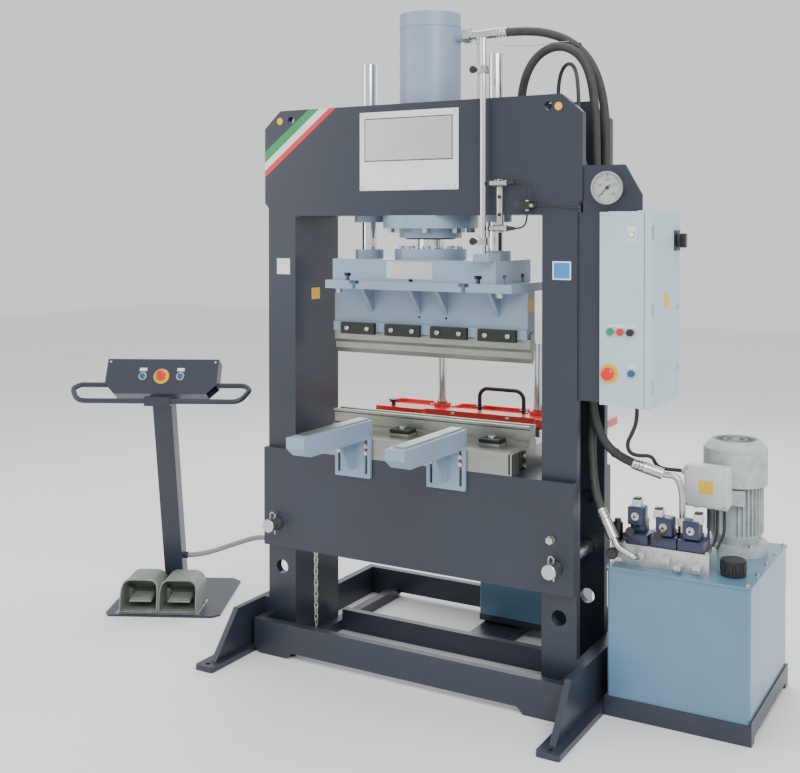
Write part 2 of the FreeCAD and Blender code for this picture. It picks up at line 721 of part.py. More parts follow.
def base_ties():
    """Cross members and sills of the base, welded to the feet and the frame plates."""
    members = [tie(FRONT_TIE_Y, FRONT_TIE_Z0, FRONT_TIE_Z1, HALF_OUT)]
    front_inner = FRONT_TIE_Y + TIE_T
    for side in (-1, 1):
        x0, x1 = sorted((side * SILL_X0, side * SILL_X1))
        members.append(box(x0, x1, front_inner, BACK_TIE_Y, 0, SILL_H))
        w0, w1 = sorted((side * (HALF_OUT - TIE_T), side * HALF_OUT))
        members.append(box(w0, w1, front_inner, FRONT, 0, FRONT_TIE_Z1))
        members.append(box(w0, w1, REAR, BACK_TIE_Y, 0, BACK_TIE_Z1))
    members.append(box(-SILL_X0, SILL_X0, REAR - PLATE_T, REAR, 0, REAR_TIE_H))
    members.append(tie(BACK_TIE_Y, FRONT_TIE_Z0, BACK_TIE_Z1, HALF_OUT))
    members.append(box(LEDGE_X0, LEDGE_X1, REAR, BACK_TIE_Y, 0, LEDGE_H))
    under = SHELF_Z - SHELF_T
    members.append(box(REAR_TANK_X0, REAR_TANK_X1, REAR_TANK_Y0, BACK_TIE_Y, under, SHELF_Z))
    for x in (LEDGE_X0 + 4, LEDGE_X1 - 10):
        members.append(box(x, x + SKID_T, REAR_TANK_Y0, BACK_TIE_Y, LEDGE_H, under))
    return fuse(members)


def tank_skid():
    """Angle-iron cradle under the oil tank, with short legs."""
    x0, x1 = TANK_X0 - SKID_T, TANK_X1 + SKID_T
    y0, y1 = TANK_Y0 - SKID_T, TANK_Y1 + SKID_T
    skirt = 20.0
    upstand = 12.0
    pieces = [box(x0, x1, y0, y1, SHELF_Z, TANK_Z0),
              box(x0, x1, y0, y0 + SKID_T, 0, TANK_Z0),
              box(x1 - SKID_T, x1, y0, y1, skirt, TANK_Z0 + upstand),
              box(x0, x0 + SKID_T, y0, y1, skirt, TANK_Z0),
              box(x0, x1, y1 - SKID_T, y1, skirt, TANK_Z0)]
    for x in (x0, x1 - SKID_LEG):
        for y in (y0, y1 - SKID_LEG):
            pieces.append(box(x, x + SKID_LEG, y, y + SKID_LEG, 0, SHELF_Z))
    return fuse(pieces)


# ---------------------------------------------------------------- cylinder and guides
def cylinder_barrel():
    """Steel barrel with a welded cap and a port boss."""
    z0 = OPENING_Z
    barrel = rod(BARREL_R, BARREL_TOP - z0, V(0, 0, z0))
    port = rod(PORT_BOSS_R, BARREL_R + PORT_BOSS_PROUD, V(0, 0, PORT_Z), X_DIR)
    body = fuse([barrel, port])
    bore = rod(BORE_R, BARREL_TOP - BARREL_CAP - z0, V(0, 0, z0))
    oil_way = rod(OIL_WAY_R, BARREL_R + PORT_BOSS_PROUD + 1, V(0, 0, PORT_Z), X_DIR)
    return cut(body, [bore, oil_way])


def rod_gland():
    """Flange and gland that close the barrel and guide the rod."""
    flange = rod(FLANGE_R, FLANGE_H, V(0, 0, OPENING_Z - FLANGE_H))
    gland = rod(GLAND_R, GLAND_H, V(0, 0, GLAND_BOTTOM))
    spigot = rod(BORE_R, GLAND_SPIGOT, V(0, 0, OPENING_Z))
    body = fuse([flange, gland, spigot])
    through = FLANGE_H + GLAND_H + GLAND_SPIGOT
    return body.cut(rod(ROD_R + RUN_FIT, through, V(0, 0, GLAND_BOTTOM)))


def frame_bolts():
    """Hexagon bolts under the cylinder flange and in the brackets of the support arms."""
    bolts = []
    for k in range(FLANGE_BOLTS):
        a = 2 * math.pi * (k + 0.5) / FLANGE_BOLTS
        under = OPENING_Z - FLANGE_H - FLANGE_BOLT_H
        head = V(FLANGE_BOLT_PCR * math.cos(a), FLANGE_BOLT_PCR * math.sin(a), under)
        bolts.append(hexagon(FLANGE_BOLT_AF, FLANGE_BOLT_H, head))
    for side in (-1, 1):
        middle = side * ARM_X + ARM_PLATE_SHIFT
        face = BOLSTER_FRONT - ARM_PLATE_T
        for slot in (-1, 1):
            x = middle + slot * (ARM_PLATE_W / 2 - ARM_SLOT_IN)
            for z in (BOLSTER_TOP - 25, BOLSTER_TOP - 50):
                bolts.append(rod(8, 5, V(x, face, z), V(0, -1, 0)))
    return bolts


def guide_bushes():
    """Flanged bushes of the guide columns, one each side."""
    bushes = []
    for side in (-1, 1):
        x = side * COLUMN_X
        flange = rod(BUSH_R, BUSH_H, V(x, 0, OPENING_Z - BUSH_H))
        sleeve = rod(BUSH_SLEEVE_R, STAY_TOP - OPENING_Z, V(x, 0, OPENING_Z))
        body = fuse([flange, sleeve])
        bore = rod(COLUMN_R + RUN_FIT, STAY_TOP - OPENING_Z + BUSH_H, V(x, 0, OPENING_Z - BUSH_H))
        bushes.append(body.cut(bore))
    return bushes


# ---------------------------------------------------------------- ram
def piston_rod():
    top = BARREL_TOP - BARREL_CAP - PISTON_END_GAP
    shaft = rod(ROD_R, top - RAM_TOP, V(0, 0, RAM_TOP))
    piston = rod(BORE_R - RUN_FIT, PISTON_H, V(0, 0, top - PISTON_H))
    return fuse([shaft, piston])


def rod_collar():
    """Split ring that holds the rod down on the ram."""
    collar = ring(RAM_COLLAR_R, ROD_R, RAM_COLLAR_H, V(0, 0, RAM_TOP))
    slit = box(-RAM_COLLAR_R, RAM_COLLAR_R, -1, 1, RAM_TOP, COLLAR_TOP)
    turned = slit.copy()
    turned.rotate(V(0, 0, 0), Z_DIR, 62)
    return collar.cut(turned).Solids


def tslot(x, y0, y1, z0):
    """Inverted-T slot along Y, open at the bottom face z0."""
    neck = box(x - TSLOT_NECK / 2, x + TSLOT_NECK / 2, y0, y1, z0, z0 + TSLOT_NECK_H)
    head = box(x - TSLOT_HEAD / 2, x + TSLOT_HEAD / 2, y0, y1,
               z0 + TSLOT_NECK_H, z0 + TSLOT_NECK_H + TSLOT_HEAD_H)
    return fuse([neck, head])


def ram_block():
    """Machined ram platen with T-slots underneath and column collars on top."""
    half_d = RAM_D / 2
    corners = rect(-RAM_HALF, RAM_HALF, -half_d, half_d, 6)
    block = slab_z(corners, RAM_BOTTOM, RAM_TOP)
    tools = [tslot(x, -half_d - 1, half_d + 1, RAM_BOTTOM) for x in (-TSLOT_X, 0, TSLOT_X)]
    side_slot = tslot(0, RAM_HALF - TSLOT_SIDE_L, RAM_HALF + 1, RAM_BOTTOM)
    side_slot.rotate(V(0, 0, 0), Z_DIR, -90)
    for y in (-half_d / 2, half_d / 2):
        placed = side_slot.copy()
        placed.translate(V(0, y, 0))
        tools.append(placed)
    block = cut(block, tools)
    collars = []
    for side in (-1, 1):
        at = V(side * COLUMN_X, 0, RAM_TOP)
        collars.append(ring(COLUMN_COLLAR_R, COLUMN_R, COLUMN_COLLAR_H, at))
    lug_y = STROKE_ROD_Y - 24
    lug = box(STROKE_ROD_X - 27, STROKE_ROD_X + 32, lug_y, -half_d + 40, RAM_TOP, RAM_TOP + 26)
    lug = lug.cut(rod(STROKE_ROD_R, 30, V(STROKE_ROD_X, STROKE_ROD_Y, RAM_TOP)))
    return fuse([block, lug] + collars)


def guide_columns():
    return [rod(COLUMN_R, COLUMN_L, V(side * COLUMN_X, 0, RAM_TOP)) for side in (-1, 1)]


def tool_plate():
    """Plate bolted under the ram, with clamp pockets along its front edge."""
    half_d = RAM_D / 2
    front = -half_d - TOOL_PLATE_LIP
    corners = rect(TOOL_PLATE_X0, TOOL_PLATE_X1, front, half_d, 4)
    plate = slab_z(corners, TOOL_BOTTOM, RAM_BOTTOM)
    pockets = []
    for x in TOOL_SLOT_X:
        pockets.append(box(x - 22, x + 22, front - 1, front + 22, RAM_BOTTOM - 12, RAM_BOTTOM + 1))
        pockets.append(box(x - 8, x + 8, front - 1, front + 40, TOOL_BOTTOM, RAM_BOTTOM + 1))
    return cut(plate, pockets)


def punch_holder():
    """Deep beam under the tool plate, stiffened by ribs, with a lip for the punch clamps."""
    half = HOLDER_D / 2
    beam = box(-HOLDER_HALF, HOLDER_HALF, -half, half, HOLDER_BOTTOM, TOOL_BOTTOM)
    lip_top = HOLDER_BOTTOM + HOLDER_LIP_H
    lip = box(-HOLDER_HALF, HOLDER_HALF, -half - HOLDER_LIP_T, -half, HOLDER_BOTTOM, lip_top)
    pieces = [beam, lip]
    for x in HOLDER_RIB_X:
        for side in (-1, 1):
            toe = side * half
            tip = side * (half + HOLDER_RIB_OUT)
            rib = [(toe, TOOL_BOTTOM, 0), (tip, TOOL_BOTTOM, 0), (toe, TOOL_BOTTOM - HOLDER_RIB_H, 0)]
            pieces.append(slab_x(rib, x - HOLDER_RIB_T / 2, x + HOLDER_RIB_T / 2))
    body = fuse(pieces)
    slot_d = PUNCH_D / 2 - PUNCH_STEP
    socket = box(-HOLDER_HALF - 1, HOLDER_HALF + 1, -slot_d, slot_d,
                 HOLDER_BOTTOM - 1, HOLDER_BOTTOM + HOLDER_SOCKET_H)
    holes = [socket]
    for x in HOLDER_HOLE_X:
        holes.append(rod(5, 20, V(x, -half - 1, HOLDER_BOTTOM + 62), Y_DIR))
    return cut(body, holes)


def punch():
    """Straight bending punch: tang, shoulders and a blunt edge, a constant section."""
    half = PUNCH_D / 2
    tang = half - PUNCH_STEP
    waist = half - 8
    tang_top = HOLDER_BOTTOM + HOLDER_SOCKET_H - 2
    shoulder = HOLDER_BOTTOM - FREE_GAP
    right = [(4, PUNCH_BOTTOM, 2), (waist, PUNCH_BOTTOM + 18, 0), (waist, PUNCH_TOP - 36, 0),
             (half, PUNCH_TOP - 24, 0), (half, shoulder, 0), (tang, shoulder, 0), (tang, tang_top, 0)]
    left = [(-y, z, r) for y, z, r in reversed(right)]
    return slab_x(right + left, -PUNCH_HALF, PUNCH_HALF)


def punch_clamps():
    """Clamp plates that pinch the punch against the holder."""
    back = -HOLDER_D / 2 - HOLDER_LIP_T
    plates = []
    for x in CLAMP_CENTRES:
        corners = rect(x - CLAMP_W / 2, x + CLAMP_W / 2, CLAMP_Z, CLAMP_Z + CLAMP_H, 2)
        plates.append(slab_y(corners, back - CLAMP_T, back))
    return plates


def stroke_rod():
    return rod(STROKE_ROD_R, STROKE_ROD_L, V(STROKE_ROD_X, STROKE_ROD_Y, RAM_TOP))


# ---------------------------------------------------------------- bed, die and supports
def bed():
    """Welded bed: two deep plates that straddle the frame, a top plate, ribs and gauge arms."""
    pieces = []
    for y0 in (-BED_Y - BED_PLATE_T, BED_Y):
        plate = slab_y(rect(-HALF_OUT, HALF_OUT, BED_BOTTOM, BED_TOP, 4), y0, y0 + BED_PLATE_T)
        holes = [rod(PIN_HOLE_R, BED_PLATE_T, V(side * PIN_X, y0, PIN_Z), Y_DIR) for side in (-1, 1)]
        pieces.append(cut(plate, holes))
    inner = HALF_IN - BED_GAP
    pieces.append(box(-inner, inner, -BED_Y, BED_Y, BED_TOP - BED_TOP_T, BED_TOP))
    for x in BED_RIB_X:
        pieces.append(box(x - BED_RIB_T / 2, x + BED_RIB_T / 2, -BED_Y, BED_Y,
                          BED_BOTTOM + 30, BED_TOP - BED_TOP_T))
    arm_top = GAUGE_BRACKET_Z
    for side in (-1, 1):
        x = side * GAUGE_COL_X
        y0 = BED_Y + BED_PLATE_T
        root = arm_top - GAUGE_BRACKET_ROOT
        arm = [(y0, arm_top, 0), (y0, root, 0), (y0 + 60, root, 0),
               (GAUGE_COL_Y + 40, arm_top - GAUGE_BRACKET_H, 0), (GAUGE_COL_Y + 40, arm_top, 0)]
        pieces.append(slab_x(arm, x - GAUGE_BRACKET_W / 2, x + GAUGE_BRACKET_W / 2))
    return fuse(pieces)


def bed_pins():
    """Two through pins with a cross hole for the wire clip near the front end."""
    pins = []
    y0 = -BED_Y - BED_PLATE_T - PIN_PROUD
    length = 2 * (BED_Y + BED_PLATE_T) + PIN_PROUD + PIN_TAIL
    for side in (-1, 1):
        pin = rod(PIN_R, length, V(side * PIN_X, y0, PIN_Z), Y_DIR)
        rim = [e for e in pin.Edges if abs(e.BoundBox.YMax - y0) < 0.01 and abs(e.BoundBox.YLength) < 0.01]
        pin = pin.makeChamfer(2, rim)
        clip = rod(CLIP_HOLE_R, 2 * PIN_R + 4, V(side * PIN_X, y0 + 46, PIN_Z - PIN_R - 2))
        pins.append(pin.cut(clip))
    return pins


def bolster():
    """Ground steel bolster that carries the die, with a T-slotted front bar."""
    y1 = BOLSTER_FRONT + BOLSTER_D
    corners = rect(-DIE_HALF, DIE_HALF, BOLSTER_FRONT, y1, 2)
    slab = slab_z(corners, BED_TOP, BOLSTER_TOP)
    holes = []
    for x in BOLSTER_HOLE_X:
        holes.append(rod(5.5, 16, V(x, DIE_CLAMP_Y - 10, BOLSTER_TOP - 16)))
    seat = BOLSTER_TOP - DIE_SEAT
    groove = box(-DIE_HALF - 1, DIE_HALF + 1, -DIE_D / 2, DIE_D / 2, seat, BOLSTER_TOP + 1)
    slot = box(DIE_HALF - 12, DIE_HALF - 6, BOLSTER_FRONT - 1, BOLSTER_FRONT + 60,
               BED_TOP + 4, BOLSTER_TOP + 1)
    return cut(slab, holes + [groove, slot])


def v_die():
    """V-die: a necked bar with a V groove along its top."""
    half = DIE_D / 2
    neck = DIE_NECK_D / 2
    head = half - 4
    z0 = BOLSTER_TOP - DIE_SEAT
    right = [(half, z0, 0), (half, z0 + 22, 0), (neck, z0 + 28, 0), (neck, DIE_TOP - 14, 0),
             (head, DIE_TOP - 8, 0), (head, DIE_TOP, 1), (DIE_V_W / 2, DIE_TOP, 0)]
    left = [(-y, z, r) for y, z, r in reversed(right)]
    return slab_x(right + [(0, DIE_TOP - DIE_V_D, 0)] + left, -DIE_HALF, DIE_HALF)


def die_clamps():
    """Stepped die clamps, each a steel heel block, a black clamp plate and its bolt."""
    clamps = []
    for x in DIE_CLAMP_X:
        y = DIE_CLAMP_Y
        heel_top = BOLSTER_TOP + DIE_CLAMP_HEEL
        top = heel_top + DIE_CLAMP_T
        heel = slab_z(rect(x - 36, x + 36, y - 22, y + 34, 3), BOLSTER_TOP, heel_top)
        plate = slab_z([(x - 40, y - 24, 2), (x + 26, y - 24, 2), (x + 40, y - 8, 2), (x + 40, y + 36, 2),
                        (x - 40, y + 36, 2)], heel_top, top)
        screw = rod(8, 6, V(x, y + 4, top))
        clamps.append(fuse([heel, plate, screw]))
    end_plate = slab_x(rect(BOLSTER_FRONT + 62, BOLSTER_FRONT + 102, BED_TOP + 6, BOLSTER_TOP - 2, 2),
                       DIE_HALF, DIE_HALF + 9)
    clamps.append(end_plate)
    return clamps


def support_arms():
    """Front support arms: a box arm with a rest strip, welded to a slotted bracket plate."""
    arms = []
    top = DIE_TOP - ARM_STRIP
    bottom = BOLSTER_TOP
    for side in (-1, 1):
        x = side * ARM_X
        side_view = [(ARM_FRONT, top, 3), (ARM_FRONT, top - 36, 2), (ARM_FRONT + ARM_NOSE, bottom, 3),
                     (ARM_REAR, bottom, 3), (ARM_REAR, top, 3)]
        arm = slab_x(side_view, x - ARM_W / 2, x + ARM_W / 2)
        strip = box(x - ARM_W / 2 + 14, x + ARM_W / 2 - 14, ARM_FRONT + 30, ARM_REAR - 4, top, DIE_TOP)
        middle = x + ARM_PLATE_SHIFT
        y1 = BOLSTER_FRONT - BED_GAP
        y0 = y1 - ARM_PLATE_T + BED_GAP
        plate = slab_y(rect(middle - ARM_PLATE_W / 2, middle + ARM_PLATE_W / 2, ARM_PLATE_Z0, ARM_PLATE_Z1, 3),
                       y0, y1)
        slots = []
        for hand in (-1, 1):
            sx = middle + hand * (ARM_PLATE_W / 2 - ARM_SLOT_IN)
            slots.append(slab_y(rect(sx - ARM_SLOT_W / 2, sx + ARM_SLOT_W / 2, ARM_PLATE_Z0 + 14,
                                     ARM_PLATE_Z1 - 14, 5), y0 - 1, y1 + 1))
        web_x = x - ARM_W / 2
        web = slab_x([(y0, bottom, 0), (y0, ARM_PLATE_Z0 + 30, 0), (y0 - 20, ARM_PLATE_Z0 + 30, 0),
                      (y0 - 110, bottom, 0)], web_x + 6, web_x + 16)
        arms.append(fuse([arm, strip, cut(plate, slots), web]))
    return arms


# ---------------------------------------------------------------- back gauge
def back_gauge_table():
    """Cast table with pockets in its top that slides up and down on two columns."""
    z0 = GAUGE_T_TOP - GAUGE_T_H
    corners = [(-GAUGE_T_HALF, GAUGE_T_Y0 + 90, 8), (-GAUGE_T_HALF + 30, GAUGE_T_Y0, 8),
               (-250, GAUGE_T_Y0, 6), (-236, GAUGE_T_Y0 + 28, 6), (236, GAUGE_T_Y0 + 28, 6),
               (250, GAUGE_T_Y0, 6), (GAUGE_T_HALF, GAUGE_T_Y0, 8),
               (GAUGE_T_HALF, GAUGE_T_Y1, 8), (-GAUGE_T_HALF, GAUGE_T_Y1, 8)]
    table = slab_z(corners, z0, GAUGE_T_TOP)
    bosses, bores = [], []
    for side in (-1, 1):
        at = V(side * GAUGE_COL_X, GAUGE_COL_Y, z0 - 24)
        bosses.append(rod(GAUGE_BOSS_R, GAUGE_T_H + 40, at))
        bores.append(rod(GAUGE_COL_R + RUN_FIT, GAUGE_T_H + 40, at))
    pockets = []
    for x0, x1 in ((-GAUGE_T_HALF + 28, -GAUGE_COL_X - 46), (-GAUGE_COL_X + 46, GAUGE_COL_X - 46),
                   (GAUGE_COL_X + 46, GAUGE_T_HALF - 28)):
        pockets.append(slab_z(rect(x0, x1, GAUGE_T_Y0 + 100, GAUGE_T_Y1 - 26, 14),
                              GAUGE_T_TOP - GAUGE_POCKET, GAUGE_T_TOP + 1))
    table = cut(table, pockets)
    return cut(fuse([table] + bosses), bores)


def gauge_columns():
    columns = []
    for side in (-1, 1):
        at = V(side * GAUGE_COL_X, GAUGE_COL_Y, GAUGE_BRACKET_Z)
        columns.append(rod(GAUGE_COL_R, GAUGE_COL_L, at))
    return columns


def gauge_handle():
    """U handle of bent bar with round feet."""
    x0 = HANDLE_X - HANDLE_SPAN / 2
    x1 = HANDLE_X + HANDLE_SPAN / 2
    floor = GAUGE_T_TOP - GAUGE_POCKET
    top = floor + HANDLE_H + 12
    y = HANDLE_Y
    points = [(x0, y, floor), (x0, y, top - HANDLE_BEND), (x0 + HANDLE_BEND, y, top),
              (x1 - HANDLE_BEND, y, top), (x1, y, top - HANDLE_BEND), (x1, y, floor)]
    bar = tube(points, 2 * HANDLE_R)
    rings = [ring(HANDLE_FOOT_R, HANDLE_R - 1, 6, V(x, y, floor)) for x in (x0, x1)]
    return fuse([bar] + rings)


# ---------------------------------------------------------------- sensors
def position_sensors():
    """Two limit sensors and a junction block on brackets in front of the crosshead."""
    pieces = []
    reach = STROKE_ROD_Y + 14
    for z in SENSOR_Z:
        x0 = SENSOR_X + 8
        x1 = x0 + SENSOR_L
        outline_xz = rect(x0, x1, z - SENSOR_HALF_H, z + SENSOR_HALF_H, 3)
        body = slab_y(outline_xz, STROKE_ROD_Y - 12, STROKE_ROD_Y + 10)
        nose = rod(8, 9, V(SENSOR_X, STROKE_ROD_Y, z), X_DIR)
        plug = rod(7.5, SENSOR_PLUG_L, V(x1, STROKE_ROD_Y, z), X_DIR)
        pieces.append(fuse([body, nose, plug]))
    x1 = JUNCTION_X + JUNCTION_W
    z0, z1 = JUNCTION_Z - JUNCTION_HALF_H, JUNCTION_Z + JUNCTION_HALF_H
    block = slab_y(rect(JUNCTION_X, x1, z0, z1, 3), STROKE_ROD_Y - 10, FRONT)
    plug = rod(7, 22, V(x1, STROKE_ROD_Y + 4, JUNCTION_Z), X_DIR)
    pieces.append(fuse([block, plug]))
    mast_x = STROKE_ROD_X + 44
    mast = box(mast_x, mast_x + 20, reach, reach + 6, SENSOR_Z[1] - 14, SENSOR_Z[0] + 14)
    foot = box(mast_x, mast_x + 20, reach, FRONT, OPENING_Z + 20, OPENING_Z + 60)
    pieces[0] = fuse([pieces[0], mast, foot, pieces[1]])
    del pieces[1]
    return pieces


# ---------------------------------------------------------------- cabinet
def cabinet_case():
    """Sheet-steel cabinet, open on its +X side behind the door, with a gland plate and hangers."""
    shell = slab_z(rect(CAB_X0, CASE_X1, CAB_Y0, CAB_Y1, 3), CAB_Z0, CAB_Z1)
    hollow = box(CAB_X0 + CAB_WALL, CASE_X1 + 1, CAB_Y0 + CAB_WALL, CAB_Y1 - CAB_WALL,
                 CAB_Z0 + CAB_WALL, CAB_Z1 - CAB_WALL)
    shell = shell.cut(hollow)
    mount = box(CAB_X0 + CAB_WALL, CAB_X0 + CAB_WALL + 3, CAB_Y0 + 20, CAB_Y1 - 20,
                CAB_Z0 + 30, CAB_Z1 - 30)
    hangers = []
    for z in (CAB_Z0 + 60, CAB_Z1 - 100):
        hangers.append(box(HALF_OUT, CAB_X0, INNER_Y - 20, INNER_Y - 14, z, z + 40))
        hangers.append(box(HALF_OUT - 40, HALF_OUT, INNER_Y - 20, INNER_Y, z, z + 40))
    gland_z = CAB_Z0 - GLAND_NUT_H
    glands = [rod(GLAND_NUT_R, GLAND_NUT_H, V(CAB_X0 + x, CAB_Y0 + y, gland_z)) for x, y in GLAND_XY]
    lugs = []
    for z in (CAB_Z0 - FREE_GAP - HINGE_LUG_T, CAB_Z1 + FREE_GAP):
        lug = box(CASE_X1 - 20, CAB_X1, CAB_Y0, CAB_Y0 + 14, z, z + HINGE_LUG_T)
        bore = rod(HINGE_PIN_R + RUN_FIT, HINGE_LUG_T, V(HINGE_X, HINGE_Y, z))
        lugs.append(lug.cut(bore))
    for z0, z1 in ((CAB_Z0 - FREE_GAP, CAB_Z0), (CAB_Z1, CAB_Z1 + FREE_GAP)):
        lugs.append(box(CASE_X1 - 20, CASE_X1, CAB_Y0, CAB_Y0 + 14, z0, z1))
    holes = control_holes()
    shell = cut(shell, holes)
    return fuse([shell, mount] + hangers + glands + lugs)


def control_holes():
    holes = []
    for x, z in (GREEN_AT, RED_AT, MODE_AT, STOP_AT, RESET_AT):
        holes.append(rod(BUTTON_STEM_R + RUN_FIT, 10, V(x, CAB_Y0 - 4, z), Y_DIR))
    return holes


def button_at(place, proud):
    """Push button facing -Y: cap, with a stem that passes through the panel."""
    x, z = place
    face = CAB_Y0
    cap = rod(BUTTON_R, proud - BUTTON_TRAVEL - 1, V(x, face - proud, z), Y_DIR)
    stem_bar = rod(BUTTON_STEM_R, proud + BUTTON_STEM_L, V(x, face - proud, z), Y_DIR)
    return fuse([cap, stem_bar])


def mushroom(proud, origin, inward):
    """Mushroom head with a stem, facing against inward."""
    start = origin - inward * proud
    crown = Part.makeCone(MUSHROOM_R - 7, MUSHROOM_R, 4, start, inward)
    rim = rod(MUSHROOM_R, 8, start + inward * 4, inward)
    stem_bar = rod(BUTTON_STEM_R, proud + 18, start + inward * 12, inward)
    return fuse([crown, rim, stem_bar])


def cabinet_door():
    """Folded door on the +X side, turning on two pins at its front edge."""
    door = slab_z(rect(DOOR_X0, CAB_X1, CAB_Y0, CAB_Y1, 3), CAB_Z0, CAB_Z1)
    hollow = box(DOOR_X0 - 1, CAB_X1 - CAB_WALL, CAB_Y0 + DOOR_LIP, CAB_Y1 - DOOR_LIP,
                 CAB_Z0 + DOOR_LIP, CAB_Z1 - DOOR_LIP)
    door = door.cut(hollow)
    pin_length = HINGE_LUG_T + FREE_GAP
    pins = [rod(HINGE_PIN_R, pin_length, V(HINGE_X, HINGE_Y, z)) for z in (CAB_Z0 - pin_length, CAB_Z1)]
    switch = rod(SWITCH_SHAFT_R + RUN_FIT, 10, V(CAB_X1 - 5, SWITCH_Y, SWITCH_Z), X_DIR)
    return cut(fuse([door] + pins), [switch])


def main_switch():
    """Rotary isolator grip with its shaft through the door."""
    x = CAB_X1 + 6 + FREE_GAP
    grip = rod(SWITCH_R, 10, V(x, SWITCH_Y, SWITCH_Z), X_DIR)
    bar = slab_x(rect(SWITCH_Y - 9, SWITCH_Y + 9, SWITCH_Z - SWITCH_R, SWITCH_Z + SWITCH_R, 5), x + 10, x + 26)
    shaft = rod(SWITCH_SHAFT_R, 30, V(x - 26, SWITCH_Y, SWITCH_Z), X_DIR)
    return fuse([grip, bar, shaft])


def gauge_bracket():
    """Bracket plate for the pressure gauge, beside and above the cabinet."""
    y0 = GAUGE_PLATE_Y0
    notch_z = HEAD_STEP_Z - HEAD_EAR - 24
    corners = [(HALF_OUT, CAB_Z0 + 4, 0), (CAB_X0 - 1, CAB_Z0 + 4, 0), (CAB_X0 - 1, CAB_Z1 + 2, 0),
               (GAUGE_PLATE_X1, CAB_Z1 + 2, 0), (GAUGE_PLATE_X1, GAUGE_PLATE_TOP - 97, 6),
               (GAUGE_PLATE_X1 - 56, GAUGE_PLATE_TOP, 6), (HALF_HEAD, GAUGE_PLATE_TOP, 0),
               (HALF_HEAD, notch_z, 0), (HALF_OUT, notch_z, 0)]
    plate = slab_y(corners, y0, y0 + GAUGE_PLATE_T)
    stem = rod(GAUGE_STEM_R, GAUGE_PLATE_T + 2, V(GAUGE_X, y0 - 1, GAUGE_Z), Y_DIR)
    flange = box(HALF_OUT - 30, HALF_OUT, -INNER_Y, -INNER_Y + 8, CAB_Z0 + 4, notch_z)
    lap = box(HALF_OUT, HALF_OUT + 8, y0 + GAUGE_PLATE_T, -INNER_Y + 8, CAB_Z0 + 4, notch_z)
    return fuse([plate.cut(stem), flange, lap])


def gauge_case():
    """Pressure gauge case with a rim, a dial recess, and a rear stem through the bracket."""
    case = rod(GAUGE_R, GAUGE_PROUD, V(GAUGE_X, GAUGE_Y0, GAUGE_Z), Y_DIR)
    dial = rod(GAUGE_R - GAUGE_RIM, 8, V(GAUGE_X, GAUGE_Y0, GAUGE_Z), Y_DIR)
    stem = rod(GAUGE_STEM_R - FREE_GAP, GAUGE_STEM_L, V(GAUGE_X, GAUGE_PLATE_Y0, GAUGE_Z), Y_DIR)
    spindle = rod(3 + RUN_FIT, 12, V(GAUGE_X, GAUGE_Y0 + 4, GAUGE_Z), Y_DIR)
    return cut(fuse([case, stem]), [dial, spindle])


def gauge_needle():
    """Pointer on its spindle, pointing at zero (lower left)."""
    y0 = GAUGE_Y0 + 4
    spindle = rod(3, 11, V(GAUGE_X, y0, GAUGE_Z), Y_DIR)
    hub = rod(6, 2, V(GAUGE_X, y0, GAUGE_Z), Y_DIR)
    tip = GAUGE_R - 16
    blade = slab_y([(-1.6, -14, 0), (1.6, -14, 0), (0.6, tip, 0), (-0.6, tip, 0)], y0, y0 + 1.2)
    blade.rotate(V(0, 0, 0), Y_DIR, -135)
    blade.translate(V(GAUGE_X, 0, GAUGE_Z))
    return fuse([spindle, hub, blade])


# ---------------------------------------------------------------- oil unit
def tank_body():
    shell = slab_z(rect(TANK_X0, TANK_X1, TANK_Y0, TANK_Y1, 10), TANK_Z0, LID_Z0)
    hollow = slab_z(rect(TANK_X0 + TANK_WALL, TANK_X1 - TANK_WALL, TANK_Y0 + TANK_WALL,
                         TANK_Y1 - TANK_WALL, 6), TANK_Z0 + TANK_WALL, LID_Z0 + 1)
    return shell.cut(hollow)


def tank_lid():
    """Lid plate with the pump hole, the filler neck and its screws' holes."""
    lid = slab_z(rect(TANK_X0 - 4, TANK_X1 + 4, TANK_Y0 - 4, TANK_Y1 + 4, 6), LID_Z0, TANK_TOP)
    neck = ring(NECK_R, 20, 12, V(CAP_X, CAP_Y, TANK_TOP))
    body = fuse([lid, neck])
    holes = [rod(60, LID_T + 2, V(MOTOR_X, MOTOR_Y, LID_Z0 - 1)),
             rod(20, LID_T + 2, V(CAP_X, CAP_Y, LID_Z0 - 1))]
    return cut(body, holes)


def pump():
    """Gear pump and suction strainer, hanging from the motor flange inside the tank."""
    head_h = SHAFT_DOWN
    head = rod(48, head_h, V(MOTOR_X, MOTOR_Y, TANK_TOP - head_h))
    body = box(MOTOR_X - 42, MOTOR_X + 42, MOTOR_Y - 36, MOTOR_Y + 36, TANK_TOP - 170, TANK_TOP - head_h)
    suction = rod(14, 90, V(MOTOR_X, MOTOR_Y, TANK_TOP - 260))
    strainer = rod(38, 90, V(MOTOR_X, MOTOR_Y, TANK_TOP - 350))
    whole = fuse([head, body, suction, strainer])
    return whole.cut(rod(PUMP_BORE_R, head_h + 2, V(MOTOR_X, MOTOR_Y, TANK_TOP - head_h - 1)))


